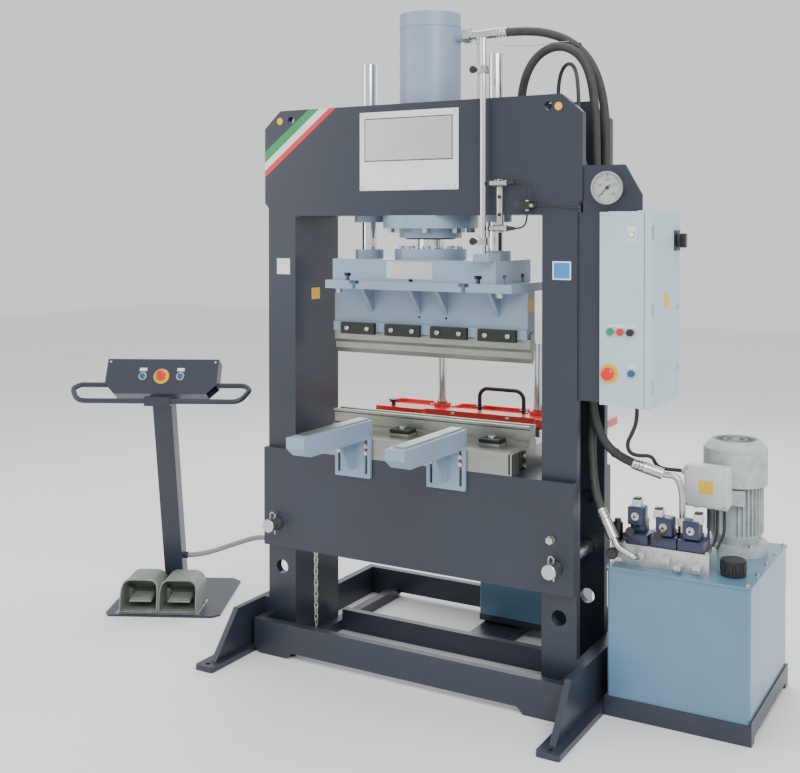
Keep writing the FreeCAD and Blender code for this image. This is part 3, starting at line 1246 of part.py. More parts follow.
def manifold_block():
    """Machined manifold with its front ports and a needle valve on its left end."""
    y1 = MANIFOLD_Y0 + MANIFOLD_D
    block = slab_z(rect(MANIFOLD_X0, MANIFOLD_X1, MANIFOLD_Y0, y1, 2), TANK_TOP, MANIFOLD_TOP)
    ports = []
    for x, z, r, proud in PORTS:
        at = V(MANIFOLD_X0 + x, MANIFOLD_Y0 - proud, TANK_TOP + z)
        ports.append(rod(r, proud + 14, at, Y_DIR))
    needle_w = 38.0
    needle_x = MANIFOLD_X0 - needle_w / 2
    needle_z = TANK_TOP + 38
    body = box(MANIFOLD_X0 - needle_w, MANIFOLD_X0, MANIFOLD_Y0 + 6, MANIFOLD_Y0 + 56,
               TANK_TOP + 14, MANIFOLD_TOP - 2)
    stem = rod(9, 34, V(needle_x, MANIFOLD_Y0 - 28, needle_z), Y_DIR)
    knob = rod(16, 22, V(needle_x, MANIFOLD_Y0 - 50, needle_z), Y_DIR)
    return fuse([block, body, stem, knob] + ports)


def valve_bank():
    """Sandwich base with three solenoid valves: coil, connector and manual knob."""
    y0 = MANIFOLD_Y0 + 4
    y1 = MANIFOLD_Y0 + MANIFOLD_D - 4
    outward = V(0, -1, 0)
    pieces = [box(MANIFOLD_X0 + 16, MANIFOLD_X1 - 14, y0, y1, MANIFOLD_TOP, VALVE_TOP)]
    for from_end, lift, shift, knob in VALVES:
        x = MANIFOLD_X0 + from_end
        z = VALVE_TOP + lift
        body = box(x - 24, x + 24, y0 + 24, y1 - 6, VALVE_TOP, z - 20)
        coil = slab_y(rect(x - 27, x + 27, z - 30, z + 30, 6), y0 + 2, y0 + 54)
        nut = rod(10, 9, V(x, y0 + 2, z), outward)
        plug = slab_z(rect(x + shift - 15, x + shift + 15, y0 + 10, y0 + 42, 3), z + 22, z + 58)
        pieces += [body, coil, nut, plug]
        if knob:
            knob_z = VALVE_TOP + 14
            pieces.append(rod(9, knob, V(x - 8, y0 + 3, knob_z), outward))
            pieces.append(rod(15, 12, V(x - 8, y0 + 3 - knob, knob_z), outward))
    pieces.append(rod(RISER_R, RISER_H, V(RISER_X, RISER_Y, VALVE_TOP)))
    return fuse(pieces)


def electric_motor():
    """Flange-mounted motor: flange, ribbed body and end shield, bored for its shaft."""
    at = V(MOTOR_X, MOTOR_Y, TANK_TOP)
    flange = rod(MOTOR_FLANGE_R, MOTOR_FLANGE_H, at)
    neck_z = TANK_TOP + MOTOR_FLANGE_H
    neck = Part.makeCone(MOTOR_BODY_R - 10, MOTOR_BODY_R, MOTOR_NECK_H, V(MOTOR_X, MOTOR_Y, neck_z))
    body_z = neck_z + MOTOR_NECK_H
    body = rod(MOTOR_BODY_R, MOTOR_BODY_TOP - body_z, V(MOTOR_X, MOTOR_Y, body_z))
    fins = []
    for k in range(MOTOR_FINS):
        angle = 360.0 * k / MOTOR_FINS
        fin = box(MOTOR_BODY_R - 2, MOTOR_BODY_R + MOTOR_FIN, -1.6, 1.6, body_z + 8, MOTOR_BODY_TOP - 4)
        fin.rotate(V(0, 0, 0), Z_DIR, angle)
        fin.translate(V(MOTOR_X, MOTOR_Y, 0))
        if not 250 < angle < 290:
            fins.append(fin)
    saddle = box(MOTOR_X - TERMINAL_SADDLE, MOTOR_X + TERMINAL_SADDLE, TERMINAL_BACK, MOTOR_Y - 30,
                 TERMINAL_Z0, COWL_Z0 - 6)
    shape = fuse([flange, neck, body, saddle] + fins)
    shaft_way = rod(SHAFT_R + RUN_FIT, MOTOR_H + 2, V(MOTOR_X, MOTOR_Y, TANK_TOP - 1))
    return shape.cut(shaft_way)


def motor_rotor():
    """Motor shaft with the cooling fan on its upper end."""
    foot = TANK_TOP - SHAFT_DOWN
    shaft = rod(SHAFT_R, COWL_TOP - 22 - foot, V(MOTOR_X, MOTOR_Y, foot))
    hub_z = MOTOR_BODY_TOP + 22
    hub = rod(24, 34, V(MOTOR_X, MOTOR_Y, hub_z))
    blades = []
    for k in range(8):
        blade = box(10, COWL_R - 18, -1.5, 1.5, hub_z, hub_z + 40)
        blade.rotate(V(0, 0, 0), Z_DIR, 45 * k)
        blade.translate(V(MOTOR_X, MOTOR_Y, 0))
        blades.append(blade)
    return fuse([shaft, hub] + blades)


def fan_cowl():
    """Domed sheet cowl over the fan, with slots in its top."""
    z0 = COWL_Z0
    dome_z = COWL_TOP - COWL_DOME
    inner_r = COWL_R - COWL_WALL
    outer = rod(COWL_R, dome_z - z0, V(MOTOR_X, MOTOR_Y, z0))
    dome = Part.makeCone(COWL_R, COWL_R - COWL_DOME, COWL_DOME, V(MOTOR_X, MOTOR_Y, dome_z))
    inner = rod(inner_r, dome_z - z0, V(MOTOR_X, MOTOR_Y, z0))
    inner_dome = Part.makeCone(inner_r, inner_r - COWL_DOME, COWL_DOME - COWL_WALL, V(MOTOR_X, MOTOR_Y, dome_z))
    seat = ring(COWL_R - 1, MOTOR_BODY_R, 8, V(MOTOR_X, MOTOR_Y, MOTOR_BODY_TOP))
    shell = fuse([outer, dome]).cut(fuse([inner, inner_dome]))
    slots = []
    pitch = 7.5
    for k in range(-8, 9):
        x = MOTOR_X + k * pitch
        half = math.sqrt((COWL_R - 40) ** 2 - (k * pitch) ** 2)
        slots.append(box(x - 2, x + 2, MOTOR_Y - half, MOTOR_Y + half, COWL_TOP - 5, COWL_TOP + 1))
    return cut(fuse([shell, seat]), slots)


def terminal_box():
    """Moulded terminal box on the front of the motor, with glands."""
    y1 = TERMINAL_BACK
    y0 = y1 - TERMINAL_D
    x0 = TERMINAL_X0
    z0 = TERMINAL_Z0
    case = slab_y(rect(x0, x0 + TERMINAL_W, z0, z0 + TERMINAL_H, 8), y0, y1)
    lid = slab_y(rect(x0 - 3, x0 + TERMINAL_W + 3, z0 - 3, z0 + TERMINAL_H + 3, 9), y0, y0 + 22)
    side = rod(11, 20, V(x0, y0 + 40, z0 + 104), V(-1, 0, 0))
    under = [rod(9, TERMINAL_GLAND_L, V(x0 + dx, y0 + 40, z0), V(0, 0, -1)) for dx in TERMINAL_GLAND_X]
    return fuse([case, lid, side] + under)


def filler_cap():
    """Ribbed breather cap that screws on the filler neck."""
    z0 = TANK_TOP + 2
    cap = rod(CAP_R - 3, CAP_H, V(CAP_X, CAP_Y, z0))
    ribs = []
    for k in range(20):
        rib = rod(4.5, CAP_H - 8, V(CAP_R - 4.5, 0, z0))
        rib.rotate(V(0, 0, 0), Z_DIR, 18 * k)
        rib.translate(V(CAP_X, CAP_Y, 0))
        ribs.append(rib)
    recess = rod(NECK_R + 0.3, 12, V(CAP_X, CAP_Y, z0 - 1))
    return fuse([cap] + ribs).cut(recess)


def rear_tank():
    z0 = SHELF_Z
    shell = slab_z(rect(REAR_TANK_X0, REAR_TANK_X1, REAR_TANK_Y0, REAR_TANK_Y1, 8), z0, z0 + REAR_TANK_H)
    hollow = box(REAR_TANK_X0 + 4, REAR_TANK_X1 - 4, REAR_TANK_Y0 + 4, REAR_TANK_Y1 - 4,
                 z0 + 4, z0 + REAR_TANK_H - 8)
    return shell.cut(hollow)


# ---------------------------------------------------------------- console (built square, then turned)
def place_console(shape):
    """Turn a piece built square at the origin into the console's place."""
    placed = shape.copy()
    placed.rotate(V(0, 0, 0), Z_DIR, CONSOLE_TURN)
    placed.translate(V(CONSOLE_X, CONSOLE_Y, 0))
    return placed


def console_point(x, y, z):
    turn = math.radians(CONSOLE_TURN)
    return (CONSOLE_X + x * math.cos(turn) - y * math.sin(turn),
            CONSOLE_Y + x * math.sin(turn) + y * math.cos(turn), z)


def console_stand():
    """Base plate with cut corners, and the leaning box post with its head bracket."""
    half = BASE_W / 2
    corners = [(-half + 18, 0, 3), (half - 30, 0, 3), (half, 26, 3), (half, BASE_D - 40, 3),
               (half - 40, BASE_D, 3), (-half + 40, BASE_D, 3), (-half, BASE_D - 40, 3), (-half, 26, 3)]
    base = slab_z(corners, 0, BASE_T)
    top_z = HEAD_Z - 40
    foot_y = POST_FOOT_Y
    shift = math.tan(LEAN)
    hp = POST_W / 2

    def post_side(z, y_off):
        return (foot_y - z * shift + y_off, z, 0)
    outer = slab_x([post_side(BASE_T, -hp), post_side(BASE_T, hp), post_side(top_z, hp), post_side(top_z, -hp)],
                   -hp, hp)
    w = POST_WALL
    inner = slab_x([post_side(BASE_T, -hp + w), post_side(BASE_T, hp - w), post_side(top_z - w, hp - w),
                    post_side(top_z - w, -hp + w)], -hp + w, hp - w)
    post = outer.cut(inner)
    grip = hp + COLLAR_T
    collar_top = top_z - 10
    collar_low = collar_top - COLLAR_H
    collar = slab_x([post_side(collar_low, -grip), post_side(collar_low, grip), post_side(collar_top, grip),
                     post_side(collar_top, -grip)], -grip - 2, grip + 2)
    collar = collar.cut(outer)
    stand = fuse([base, post, collar])
    outlet = rod(CONDUIT_D / 2 + 3, 20, V(hp - 2, POST_FOOT_Y - CONDUIT_Z * shift, CONDUIT_Z), X_DIR)
    stand = fuse([stand, outlet]).cut(inner).cut(head_block())
    return place_console(stand)


def head_corners():
    """Corners of the head's section: front low, front top, back top, back low."""
    up = HEAD_PANEL_H / 2
    front_low = FACE_MID - FACE_UP * up
    front_top = FACE_MID + FACE_UP * up
    return front_low, front_top, front_top + FACE_IN * HEAD_D, front_low + FACE_IN * HEAD_D


def head_block():
    profile = [(p.y, p.z, 0) for p in head_corners()]
    return slab_x(profile, -HEAD_W / 2, HEAD_W / 2)


def console_head():
    """Control head: a folded box whose face slopes towards the operator."""
    half = HEAD_W / 2
    front_low, front_top, back_top, back_low = head_corners()
    block = head_block()
    w = HEAD_WALL
    inner_corners = (front_low + (FACE_IN + FACE_UP) * w, front_top + (FACE_IN - FACE_UP) * w,
                     back_top - (FACE_IN + FACE_UP) * w, back_low - (FACE_IN - FACE_UP) * w)
    hollow = slab_x([(p.y, p.z, 0) for p in inner_corners], -half + w, half - w)
    corner_cuts = []
    for side in (-1, 1):
        cutter = Part.makeBox(60, 400, 60, V(-30, -200, -30))
        cutter.rotate(V(0, 0, 0), Y_DIR, 45)
        cutter.rotate(V(0, 0, 0), X_DIR, -(90 - HEAD_SLOPE))
        low = front_low + FACE_IN * HEAD_D / 2
        cutter.translate(V(side * half, low.y, low.z))
        corner_cuts.append(cutter)
    holes = []
    for x in CONSOLE_BUTTONS:
        holes.append(rod(BUTTON_STEM_R + RUN_FIT, 12, FACE_MID + V(x, 0, 0) - FACE_IN * 5, FACE_IN))
    body = cut(block, corner_cuts).cut(hollow)
    return place_console(cut(body, holes))


def console_handle():
    """Closed handlebar of bent tube: a loop on each side of the head."""
    down = FACE_MID - FACE_UP * 28 + FACE_IN * 30
    half = HEAD_W / 2
    out = FACE_MID - FACE_UP * (HEAD_PANEL_H / 2 + 34) - FACE_IN * 6
    near = V(0, out.y, out.z)
    bends = []
    for side in (-1, 1):
        points = [V(side * half, down.y, down.z), V(side * (BAR_HALF - 26), down.y, down.z),
                  V(side * BAR_HALF, (down.y * 3 + near.y) / 4, (down.z * 3 + near.z) / 4),
                  V(side * (BAR_HALF - 34), near.y, near.z), V(side * (POST_W / 2 + 14), near.y, near.z)]
        bends.append(tube([(p.x, p.y, p.z) for p in points], 2 * BAR_R))
    bracket = box(-POST_W / 2 - 14, POST_W / 2 + 14, near.y - 14, near.y + 14, near.z - 18, near.z + 18)
    shape = fuse(bends + [bracket])
    return place_console(shape)


def console_button(x):
    face = FACE_MID + V(x, 0, 0)
    cap = rod(BUTTON_R, BUTTON_PROUD - BUTTON_TRAVEL - 1, face - FACE_IN * BUTTON_PROUD, FACE_IN)
    stem_bar = rod(BUTTON_STEM_R, BUTTON_PROUD + 20, face - FACE_IN * BUTTON_PROUD, FACE_IN)
    return place_console(fuse([cap, stem_bar]))


def console_stop():
    return place_console(mushroom(MUSHROOM_PROUD, FACE_MID, FACE_IN))


def pedal_guards():
    """Two cast pedal hoods, open to the front, on one floor plate."""
    hoods = []
    for side in (-1, 1):
        x0 = side * (GUARD_W / 2 + GUARD_GAP / 2) - GUARD_W / 2 + GUARD_SHIFT
        x1 = x0 + GUARD_W
        z0 = BASE_T
        arch = [(x0, z0, 0), (x1, z0, 0), (x1, z0 + GUARD_H, 44), (x0, z0 + GUARD_H, 44)]
        hood = slab_y(arch, GUARD_Y0, GUARD_Y0 + GUARD_D)
        w = GUARD_WALL
        inner = [(x0 + w, z0 + w, 0), (x1 - w, z0 + w, 0), (x1 - w, z0 + GUARD_H - w, 40),
                 (x0 + w, z0 + GUARD_H - w, 40)]
        hollow = slab_y(inner, GUARD_Y0 - 1, GUARD_Y0 + GUARD_D - 8)
        rake = slab_x([(GUARD_Y0 - 1, z0 + 24, 0), (GUARD_Y0 - 1, z0 + GUARD_H + 1, 0),
                       (GUARD_Y0 + 34, z0 + GUARD_H + 1, 0)], x0 - 1, x1 + 1)
        pivots = []
        for hand in (-1, 1):
            px = (x0 + x1) / 2 + hand * (GUARD_W / 2 - w - 8)
            pivots.append(box(px - 8, px + 8, GUARD_Y0 + 130, GUARD_Y0 + 160, z0 + w, z0 + 62))
        body = fuse([hood.cut(hollow).cut(rake)] + pivots)
        axle_at = V(x0 - 10, GUARD_Y0 + PEDAL_AXLE_Y, z0 + PEDAL_AXLE_Z)
        hoods.append(body.cut(rod(PEDAL_AXLE_R + RUN_FIT, GUARD_W + 20, axle_at, X_DIR)))
    return [place_console(h) for h in hoods]


def pedal(side):
    """Treadle with a ribbed foot plate, hinged on an axle at the back of its hood."""
    x_mid = side * (GUARD_W / 2 + GUARD_GAP / 2) + GUARD_SHIFT
    z0 = BASE_T + PEDAL_AXLE_Z
    y_axle = GUARD_Y0 + PEDAL_AXLE_Y
    half = PEDAL_HALF
    tread = slab_x([(GUARD_Y0 + 30, z0 - 12, 2), (GUARD_Y0 + 30, z0 - 4, 2), (y_axle - 20, z0 + 10, 4),
                    (y_axle + 10, z0 + 10, 4), (y_axle + 10, z0 - 8, 4)], x_mid - half, x_mid + half)
    ribs = []
    for k in range(5):
        y = GUARD_Y0 + 44 + 14 * k
        z = z0 - 4 + (y - GUARD_Y0 - 30) * 14 / (PEDAL_AXLE_Y - 50)
        ribs.append(box(x_mid - half + 6, x_mid + half - 6, y - 3, y + 3, z - 2, z + 4))
    reach = GUARD_W / 2 - GUARD_WALL
    axle = rod(PEDAL_AXLE_R, 2 * reach, V(x_mid - reach, y_axle, z0), X_DIR)
    return place_console(fuse([tread, axle] + ribs))


# ---------------------------------------------------------------- hoses and cables
HOSE_LAID_OUT = 624.0     # the upright's outer face that the hose points are given for
HOSE_LAID_TANK = 490.0    # the tank top that they are given for
HOSE_LAID_FAR = 500.0     # points further out than this go with the upright


def follow(points, low_count):
    """Hose points moved with the upright, and the last low_count of them with the tank top."""
    moved = []
    for i, (x, y, z) in enumerate(points):
        if x > HOSE_LAID_FAR:
            x += HALF_OUT - HOSE_LAID_OUT
        if i >= len(points) - low_count:
            z += TANK_TOP - HOSE_LAID_TANK
        moved.append((x, y, z))
    return tuple(moved)


HOSE_A = follow(((258.0, 0.0, 2280.0), (345.0, 0.0, 2280.0), (452.0, 2.0, 2268.0), (548.0, 10.0, 2226.0),
                 (612.0, 30.0, 2150.0), (641.0, 58.0, 2030.0), (642.0, 78.0, 1870.0), (636.0, 80.0, 1680.0),
                 (628.0, 58.0, 1450.0), (624.0, 25.0, 1230.0), (622.0, 4.0, 1050.0), (626.0, -16.0, 890.0),
                 (640.0, -42.0, 762.0), (667.0, -64.0, 680.0), (704.0, -80.0, 622.0)), 4)
HOSE_B = follow(((345.0, 45.0, 1730.0), (345.0, 45.0, 1850.0), (348.0, 28.0, 1965.0), (356.0, 6.0, 2065.0),
                 (394.0, -14.0, 2152.0), (455.0, -26.0, 2203.0), (525.0, -32.0, 2212.0), (588.0, -34.0, 2178.0),
                 (624.0, -30.0, 2108.0), (636.0, -18.0, 2000.0), (636.0, -4.0, 1830.0), (632.0, 2.0, 1630.0),
                 (628.0, -10.0, 1400.0), (632.0, -40.0, 1200.0), (634.0, -46.0, 1060.0), (646.0, -42.0, 950.0),
                 (680.0, -30.0, 870.0), (742.0, -12.0, 822.0), (812.0, 4.0, 800.0)), 4)
GAUGE_LINE = ((475.0, 55.0, 1700.0), (474.0, 52.0, 1850.0), (476.0, 46.0, 1965.0), (481.0, 37.0, 2060.0),
              (490.0, 29.0, 2116.0), (517.0, 6.0, 2150.0), (555.0, -26.0, 2150.0), (582.0, -49.0, 2116.0),
              (592.0, -58.0, 2050.0), (597.0, -64.0, 1965.0), (602.0, -66.0, 1885.0), (612.0, -58.0, 1815.0),
              (634.0, -42.0, 1762.0), (664.0, -28.0, 1734.0), (694.0, -26.0, 1724.0), (720.0, -41.0, 1722.0),
              (735.0, -67.0, 1722.0), (735.0, -98.5, 1722.0))
POWER_CABLE = ((806.0, -86.0, 1012.0), (806.0, -86.0, 970.0), (790.0, -84.0, 930.0), (768.0, -76.0, 890.0),
               (772.0, -54.0, 856.0), (794.0, -22.0, 844.0), (808.0, 18.0, 840.0), (812.0, 60.0, 826.0),
               (810.0, 92.0, 804.0), (813.0, 118.0, 785.0), (829.0, 143.0, 774.0), (856.0, 156.5, 772.0),
               (885.0, 156.5, 772.0))


def conduit_route():
    """Flexible conduit from the console post to the left upright."""
    shift = math.tan(LEAN)
    start = console_point(POST_W / 2 + 18, POST_FOOT_Y - CONDUIT_Z * shift, CONDUIT_Z)
    second = console_point(POST_W / 2 + 75, POST_FOOT_Y - CONDUIT_Z * shift, CONDUIT_Z)
    return (start, second, (-1060.0, 222.0, 236.0), (-985.0, 262.0, 262.0), (-905.0, 262.0, 262.0),
            (-830.0, 228.0, 268.0), (-760.0, 168.0, 300.0), (-700.0, 104.0, 348.0), (-650.0, 60.0, 372.0),
            (-596.0, 40.0, 378.0))


def sensor_leads():
    """Short leads between the sensors, the junction block and the frame plate."""
    y = STROKE_ROD_Y
    start = SENSOR_X + 8 + SENSOR_L + SENSOR_PLUG_L
    entry = JUNCTION_X + 42
    leads = []
    for z, rise in zip(SENSOR_Z, (-1, 1)):
        route = ((start, y, z), (start + 24, y, z), (entry, y + 2, z + 20 * rise),
                 (entry, y + 4, JUNCTION_Z - JUNCTION_HALF_H * rise))
        leads.append(tube(route, LEAD_D, "sensor_lead"))
    x0 = JUNCTION_X + JUNCTION_W + 22
    route = ((x0, y + 4, JUNCTION_Z), (x0 + 46, y + 4, JUNCTION_Z - 4), (x0 + 96, y + 8, JUNCTION_Z - 7),
             (x0 + 128, y + 17, JUNCTION_Z - 10), (x0 + 140, FRONT, JUNCTION_Z - 12))
    leads.append(tube(route, LEAD_D, "sensor_lead"))
    return leads


def solenoid_leads():
    """Leads from the terminal box down to grommets in the lid behind the valves."""
    y0 = TERMINAL_BACK - TERMINAL_D + 40
    z0 = TERMINAL_Z0 - TERMINAL_GLAND_L
    leads = []
    for dx, x_end, y_end in COIL_LEADS:
        x0 = TERMINAL_X0 + dx
        route = ((x0, y0, z0), (x0, y0, z0 - 38), (x0 + 4, y0 - 20, z0 - 78),
                 (x_end + 9, y_end + 26, TANK_TOP + 66), (x_end, y_end, TANK_TOP + 32),
                 (x_end, y_end, TANK_TOP))
        leads.append(tube(route, COIL_LEAD_D, "solenoid_lead"))
    return leads


# ---------------------------------------------------------------- hose fittings
def heading_at_end(points):
    return (V(*points[-1]) - V(*points[-2])).normalize()


def cylinder_tee():
    """Port nut, tee and ferrule at the top of the cylinder, with the drain pipe down to the stay."""
    tee_x = BARREL_R + PORT_BOSS_PROUD
    nut = hexagon(46, 26, V(tee_x, 0, PORT_Z), X_DIR)
    run = rod(17, 60, V(tee_x + 26, 0, PORT_Z), X_DIR)
    branch = rod(15, 34, V(tee_x + 60, 0, PORT_Z), V(0, 0, -1))
    ferrule = rod(FERRULE_R, HOSE_A[0][0] - tee_x - 86, V(tee_x + 86, 0, PORT_Z), X_DIR)
    drain = rod(9, PORT_Z - 34 - STAY_TOP, V(tee_x + 60, 0, STAY_TOP))
    return fuse([nut, run, branch, ferrule, drain])


def lower_a_fitting():
    """Ferrule and bent pipe from hose A to the first manifold port."""
    end, heading = V(*HOSE_A[-1]), heading_at_end(HOSE_A)
    ferrule = rod(FERRULE_R, FERRULE_L, end, heading)
    pipe_start = end + heading * FERRULE_L
    x, z, r, proud = PORTS[0]
    face = V(MANIFOLD_X0 + x, MANIFOLD_Y0 - proud, TANK_TOP + z)
    points = [pipe_start, pipe_start + heading * 30, face + V(0, -34, 0), face]
    bend = tube([(p.x, p.y, p.z) for p in points], 20)
    return fuse([ferrule, bend])


def lower_b_fitting():
    """Ferrule and swept elbow from hose B down into the riser on the valve base."""
    end, heading = V(*HOSE_B[-1]), heading_at_end(HOSE_B)
    ferrule = rod(FERRULE_R, FERRULE_L, end, heading)
    start = end + heading * FERRULE_L
    top = VALVE_TOP + RISER_H
    corner_z = start.z - 8
    first = V(start.x + (RISER_X - start.x) * 0.75, start.y + (RISER_Y - start.y) * 0.75, start.z - 2)
    second = V(RISER_X, RISER_Y, corner_z - 46)
    points = [start, first, second, V(RISER_X, RISER_Y, top)]
    bend = tube([(p.x, p.y, p.z) for p in points], 22)
    nut = hexagon(36, 24, V(RISER_X, RISER_Y, top))
    return fuse([ferrule, bend, nut])


def upper_b_fitting():
    """Nipple on the crosshead's bottom plate where hose B starts."""
    x, y, z = HOSE_B[0]
    base = OPENING_Z + HEAD_PLATE_T
    return rod(FERRULE_R, z - base, V(x, y, base))


def hose_fittings():
    """Ferrules, elbows, nuts and nipples of the hoses."""
    return [cylinder_tee(), lower_a_fitting(), lower_b_fitting(), upper_b_fitting()]


# ---------------------------------------------------------------- assembly
def build():
    add("press_frame", frame_plate(FRONT), frame_plate(REAR - PLATE_T), frame_webs())
    add("base_frame", *feet(), base_ties(), tank_skid())
    add("cylinder_barrel", cylinder_barrel())
    add("rod_gland", rod_gland())
    add("frame_bolts", *frame_bolts())
    add("guide_bushes", *guide_bushes())
    add("piston_rod", piston_rod())
    add("rod_collar", *rod_collar())
    add("ram_block", ram_block())
    add("guide_columns", *guide_columns(), stroke_rod())
    add("tool_plate", tool_plate())
    add("punch_holder", punch_holder())
    add("punch", punch())
    add("punch_clamps", *punch_clamps())
    add("bed", bed())
    add("bed_pins", *bed_pins())
    add("die_bolster", bolster())
    add("v_die", v_die())
    add("die_clamps", *die_clamps())
    add("support_arms", *support_arms())
    add("back_gauge_table", back_gauge_table())
    add("gauge_columns", *gauge_columns())
    add("gauge_handle", gauge_handle())
    add("position_sensors", *position_sensors())
    add("cabinet_case", cabinet_case())
    add("cabinet_door", cabinet_door())
    add("main_switch", main_switch())
    add("green_button", button_at(GREEN_AT, BUTTON_PROUD))
    add("red_button", button_at(RED_AT, BUTTON_PROUD))
    add("mode_selector", button_at(MODE_AT, BUTTON_PROUD + 4))
    add("reset_button", button_at(RESET_AT, BUTTON_PROUD))
    add("emergency_button", mushroom(MUSHROOM_PROUD, V(STOP_AT[0], CAB_Y0, STOP_AT[1]), Y_DIR))
    add("gauge_bracket", gauge_bracket())
    add("gauge_case", gauge_case())
    add("gauge_needle", gauge_needle())
    add("oil_tanks", tank_body(), rear_tank())
    add("tank_lid", tank_lid())
    add("pump", pump())
    add("manifold_block", manifold_block())
    add("valve_bank", valve_bank())
    add("electric_motor", electric_motor())
    add("motor_rotor", motor_rotor())
    add("fan_cowl", fan_cowl())
    add("terminal_box", terminal_box())
    add("filler_cap", filler_cap())
    add("console_stand", console_stand(), console_handle())
    add("console_head", console_head())
    add("left_console_button", console_button(CONSOLE_BUTTONS[0]))
    add("right_console_button", console_button(CONSOLE_BUTTONS[2]))
    add("console_stop", console_stop())
    add("pedal_guards", *pedal_guards())
    add("left_pedal", pedal(-1))
    add("right_pedal", pedal(1))
    add("hose_fittings", *hose_fittings())
    add("pressure_hose", tube(HOSE_A, HOSE_D, "pressure_hose"))
    add("return_hose", tube(HOSE_B, HOSE_D, "return_hose"))
    add("gauge_line", tube(GAUGE_LINE, LINE_D, "gauge_line"))
    add("power_cable", tube(POWER_CABLE, CABLE_D, "power_cable"))
    add("conduit", tube(conduit_route(), CONDUIT_D, "conduit"))
    add("control_leads", *sensor_leads(), *solenoid_leads())


def export():
    os.makedirs("parts", exist_ok=True)
    for name, solids in parts.items():
        shape = solids[0] if len(solids) == 1 else Part.makeCompound(solids)
        if not shape.isValid():
            print("INVALID", name)
        box_ = shape.BoundBox
        print(name, len(solids), [round(v) for v in (box_.XMin, box_.XMax, box_.YMin, box_.YMax,
                                                      box_.ZMin, box_.ZMax)], round(shape.Volume / 1000))
        shape.exportStep("parts/" + name + ".step")
    print(len(parts), "nodes")


build()
export()
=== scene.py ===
import json
import math

import bmesh
import bpy
from mathutils import Matrix, Vector


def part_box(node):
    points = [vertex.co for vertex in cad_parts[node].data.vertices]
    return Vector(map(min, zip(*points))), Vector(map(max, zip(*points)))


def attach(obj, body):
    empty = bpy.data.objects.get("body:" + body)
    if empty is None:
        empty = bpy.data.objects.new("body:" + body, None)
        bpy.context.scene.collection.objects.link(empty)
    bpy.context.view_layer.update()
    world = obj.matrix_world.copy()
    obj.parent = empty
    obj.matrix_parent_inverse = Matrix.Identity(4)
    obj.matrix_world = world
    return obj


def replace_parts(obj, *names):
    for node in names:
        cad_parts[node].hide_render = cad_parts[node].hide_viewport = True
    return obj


bl_info = {
    "name": "Hydraulic press finish",
    "version": (1, 0, 0),
    "blender": (4, 5, 0),
    "location": "3D View > Sidebar > Press",
    "description": "Paint, hoses, fasteners, dials and small fittings of an H-frame hydraulic press",
    "category": "Object",
}

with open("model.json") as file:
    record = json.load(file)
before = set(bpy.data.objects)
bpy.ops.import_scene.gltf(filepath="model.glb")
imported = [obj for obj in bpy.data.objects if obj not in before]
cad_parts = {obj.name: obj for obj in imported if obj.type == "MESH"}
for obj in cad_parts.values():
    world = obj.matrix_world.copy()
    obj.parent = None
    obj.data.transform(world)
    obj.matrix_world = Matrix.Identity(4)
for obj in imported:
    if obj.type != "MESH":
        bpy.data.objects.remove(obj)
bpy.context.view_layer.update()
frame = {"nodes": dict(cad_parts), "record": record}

MM = 0.001
SHARP = math.radians(32)
UP, DOWN = Vector((0, 0, 1)), Vector((0, 0, -1))
AHEAD, BACK = Vector((0, -1, 0)), Vector((0, 1, 0))
RIGHT = Vector((1, 0, 0))


# ---------------------------------------------------------------- places from the frame, in millimetres
def box(node):
    """Lowest and highest corner of a CAD node."""
    low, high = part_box(node)
    return low / MM, high / MM


def solids(node):
    """Boxes of a CAD node's separate solids, from left to right."""
    bm = bmesh.new()
    bm.from_mesh(frame["nodes"][node].data)
    bmesh.ops.remove_doubles(bm, verts=bm.verts, dist=1e-6)
    waiting = set(bm.verts)
    boxes = []
    while waiting:
        shell = [waiting.pop()]
        low, high = shell[0].co.copy(), shell[0].co.copy()
        while shell:
            vert = shell.pop()
            for i in range(3):
                low[i] = min(low[i], vert.co[i])
                high[i] = max(high[i], vert.co[i])
            near = [edge.other_vert(vert) for edge in vert.link_edges]
            fresh = [other for other in near if other in waiting]
            waiting.difference_update(fresh)
            shell.extend(fresh)
        boxes.append((low / MM, high / MM))
    bm.free()
    return sorted(boxes, key=lambda b: (b[0].x, b[0].y, b[0].z))


# ---------------------------------------------------------------- settings
def colour(name, text, default):
    return bpy.props.FloatVectorProperty(name=name, description=text, default=default, size=3, min=0, max=1,
                                         subtype="COLOR")


def length(name, text, default):
    return bpy.props.FloatProperty(name=name, description=text, default=default * MM, min=0,
                                   subtype="DISTANCE", unit="LENGTH")


class PressColours(bpy.types.PropertyGroup):
    """Paint and plastic colours, as linear light."""
    frame: colour("Frame", "Dark slate enamel of the frame", (0.022, 0.028, 0.044))
    machine: colour("Machine", "Light blue enamel of the ram, cylinder and arms", (0.245, 0.325, 0.425))
    tank: colour("Tank", "Blue enamel of the oil tank", (0.105, 0.215, 0.320))
    cabinet: colour("Cabinet", "Pale grey-blue enamel of the cabinet", (0.460, 0.620, 0.660))
    motor: colour("Motor", "Grey enamel of the motor", (0.430, 0.480, 0.470))
    table: colour("Back gauge", "Red enamel of the back gauge table", (0.720, 0.030, 0.020))
    pedals: colour("Pedals", "Grey-green enamel of the pedal hoods", (0.230, 0.265, 0.230))
    hose: colour("Hose", "Rubber cover of the hoses", (0.030, 0.032, 0.030))


class PressSizes(bpy.types.PropertyGroup):
    """Sizes of the small fittings."""
    cap_screw: length("Cap screw", "Head radius of the clamp screws", 9)
    hex_head: length("Hexagon head", "Width across flats of the large bolts", 24)
    chain_wire: length("Chain wire", "Thickness of a chain link's wire", 5)
    chain_pitch: length("Chain pitch", "Length of a chain link inside", 21)
    bezel: length("Bezel", "Radius of the rings round the push buttons", 15)


def colours():
    return bpy.context.scene.press_colours


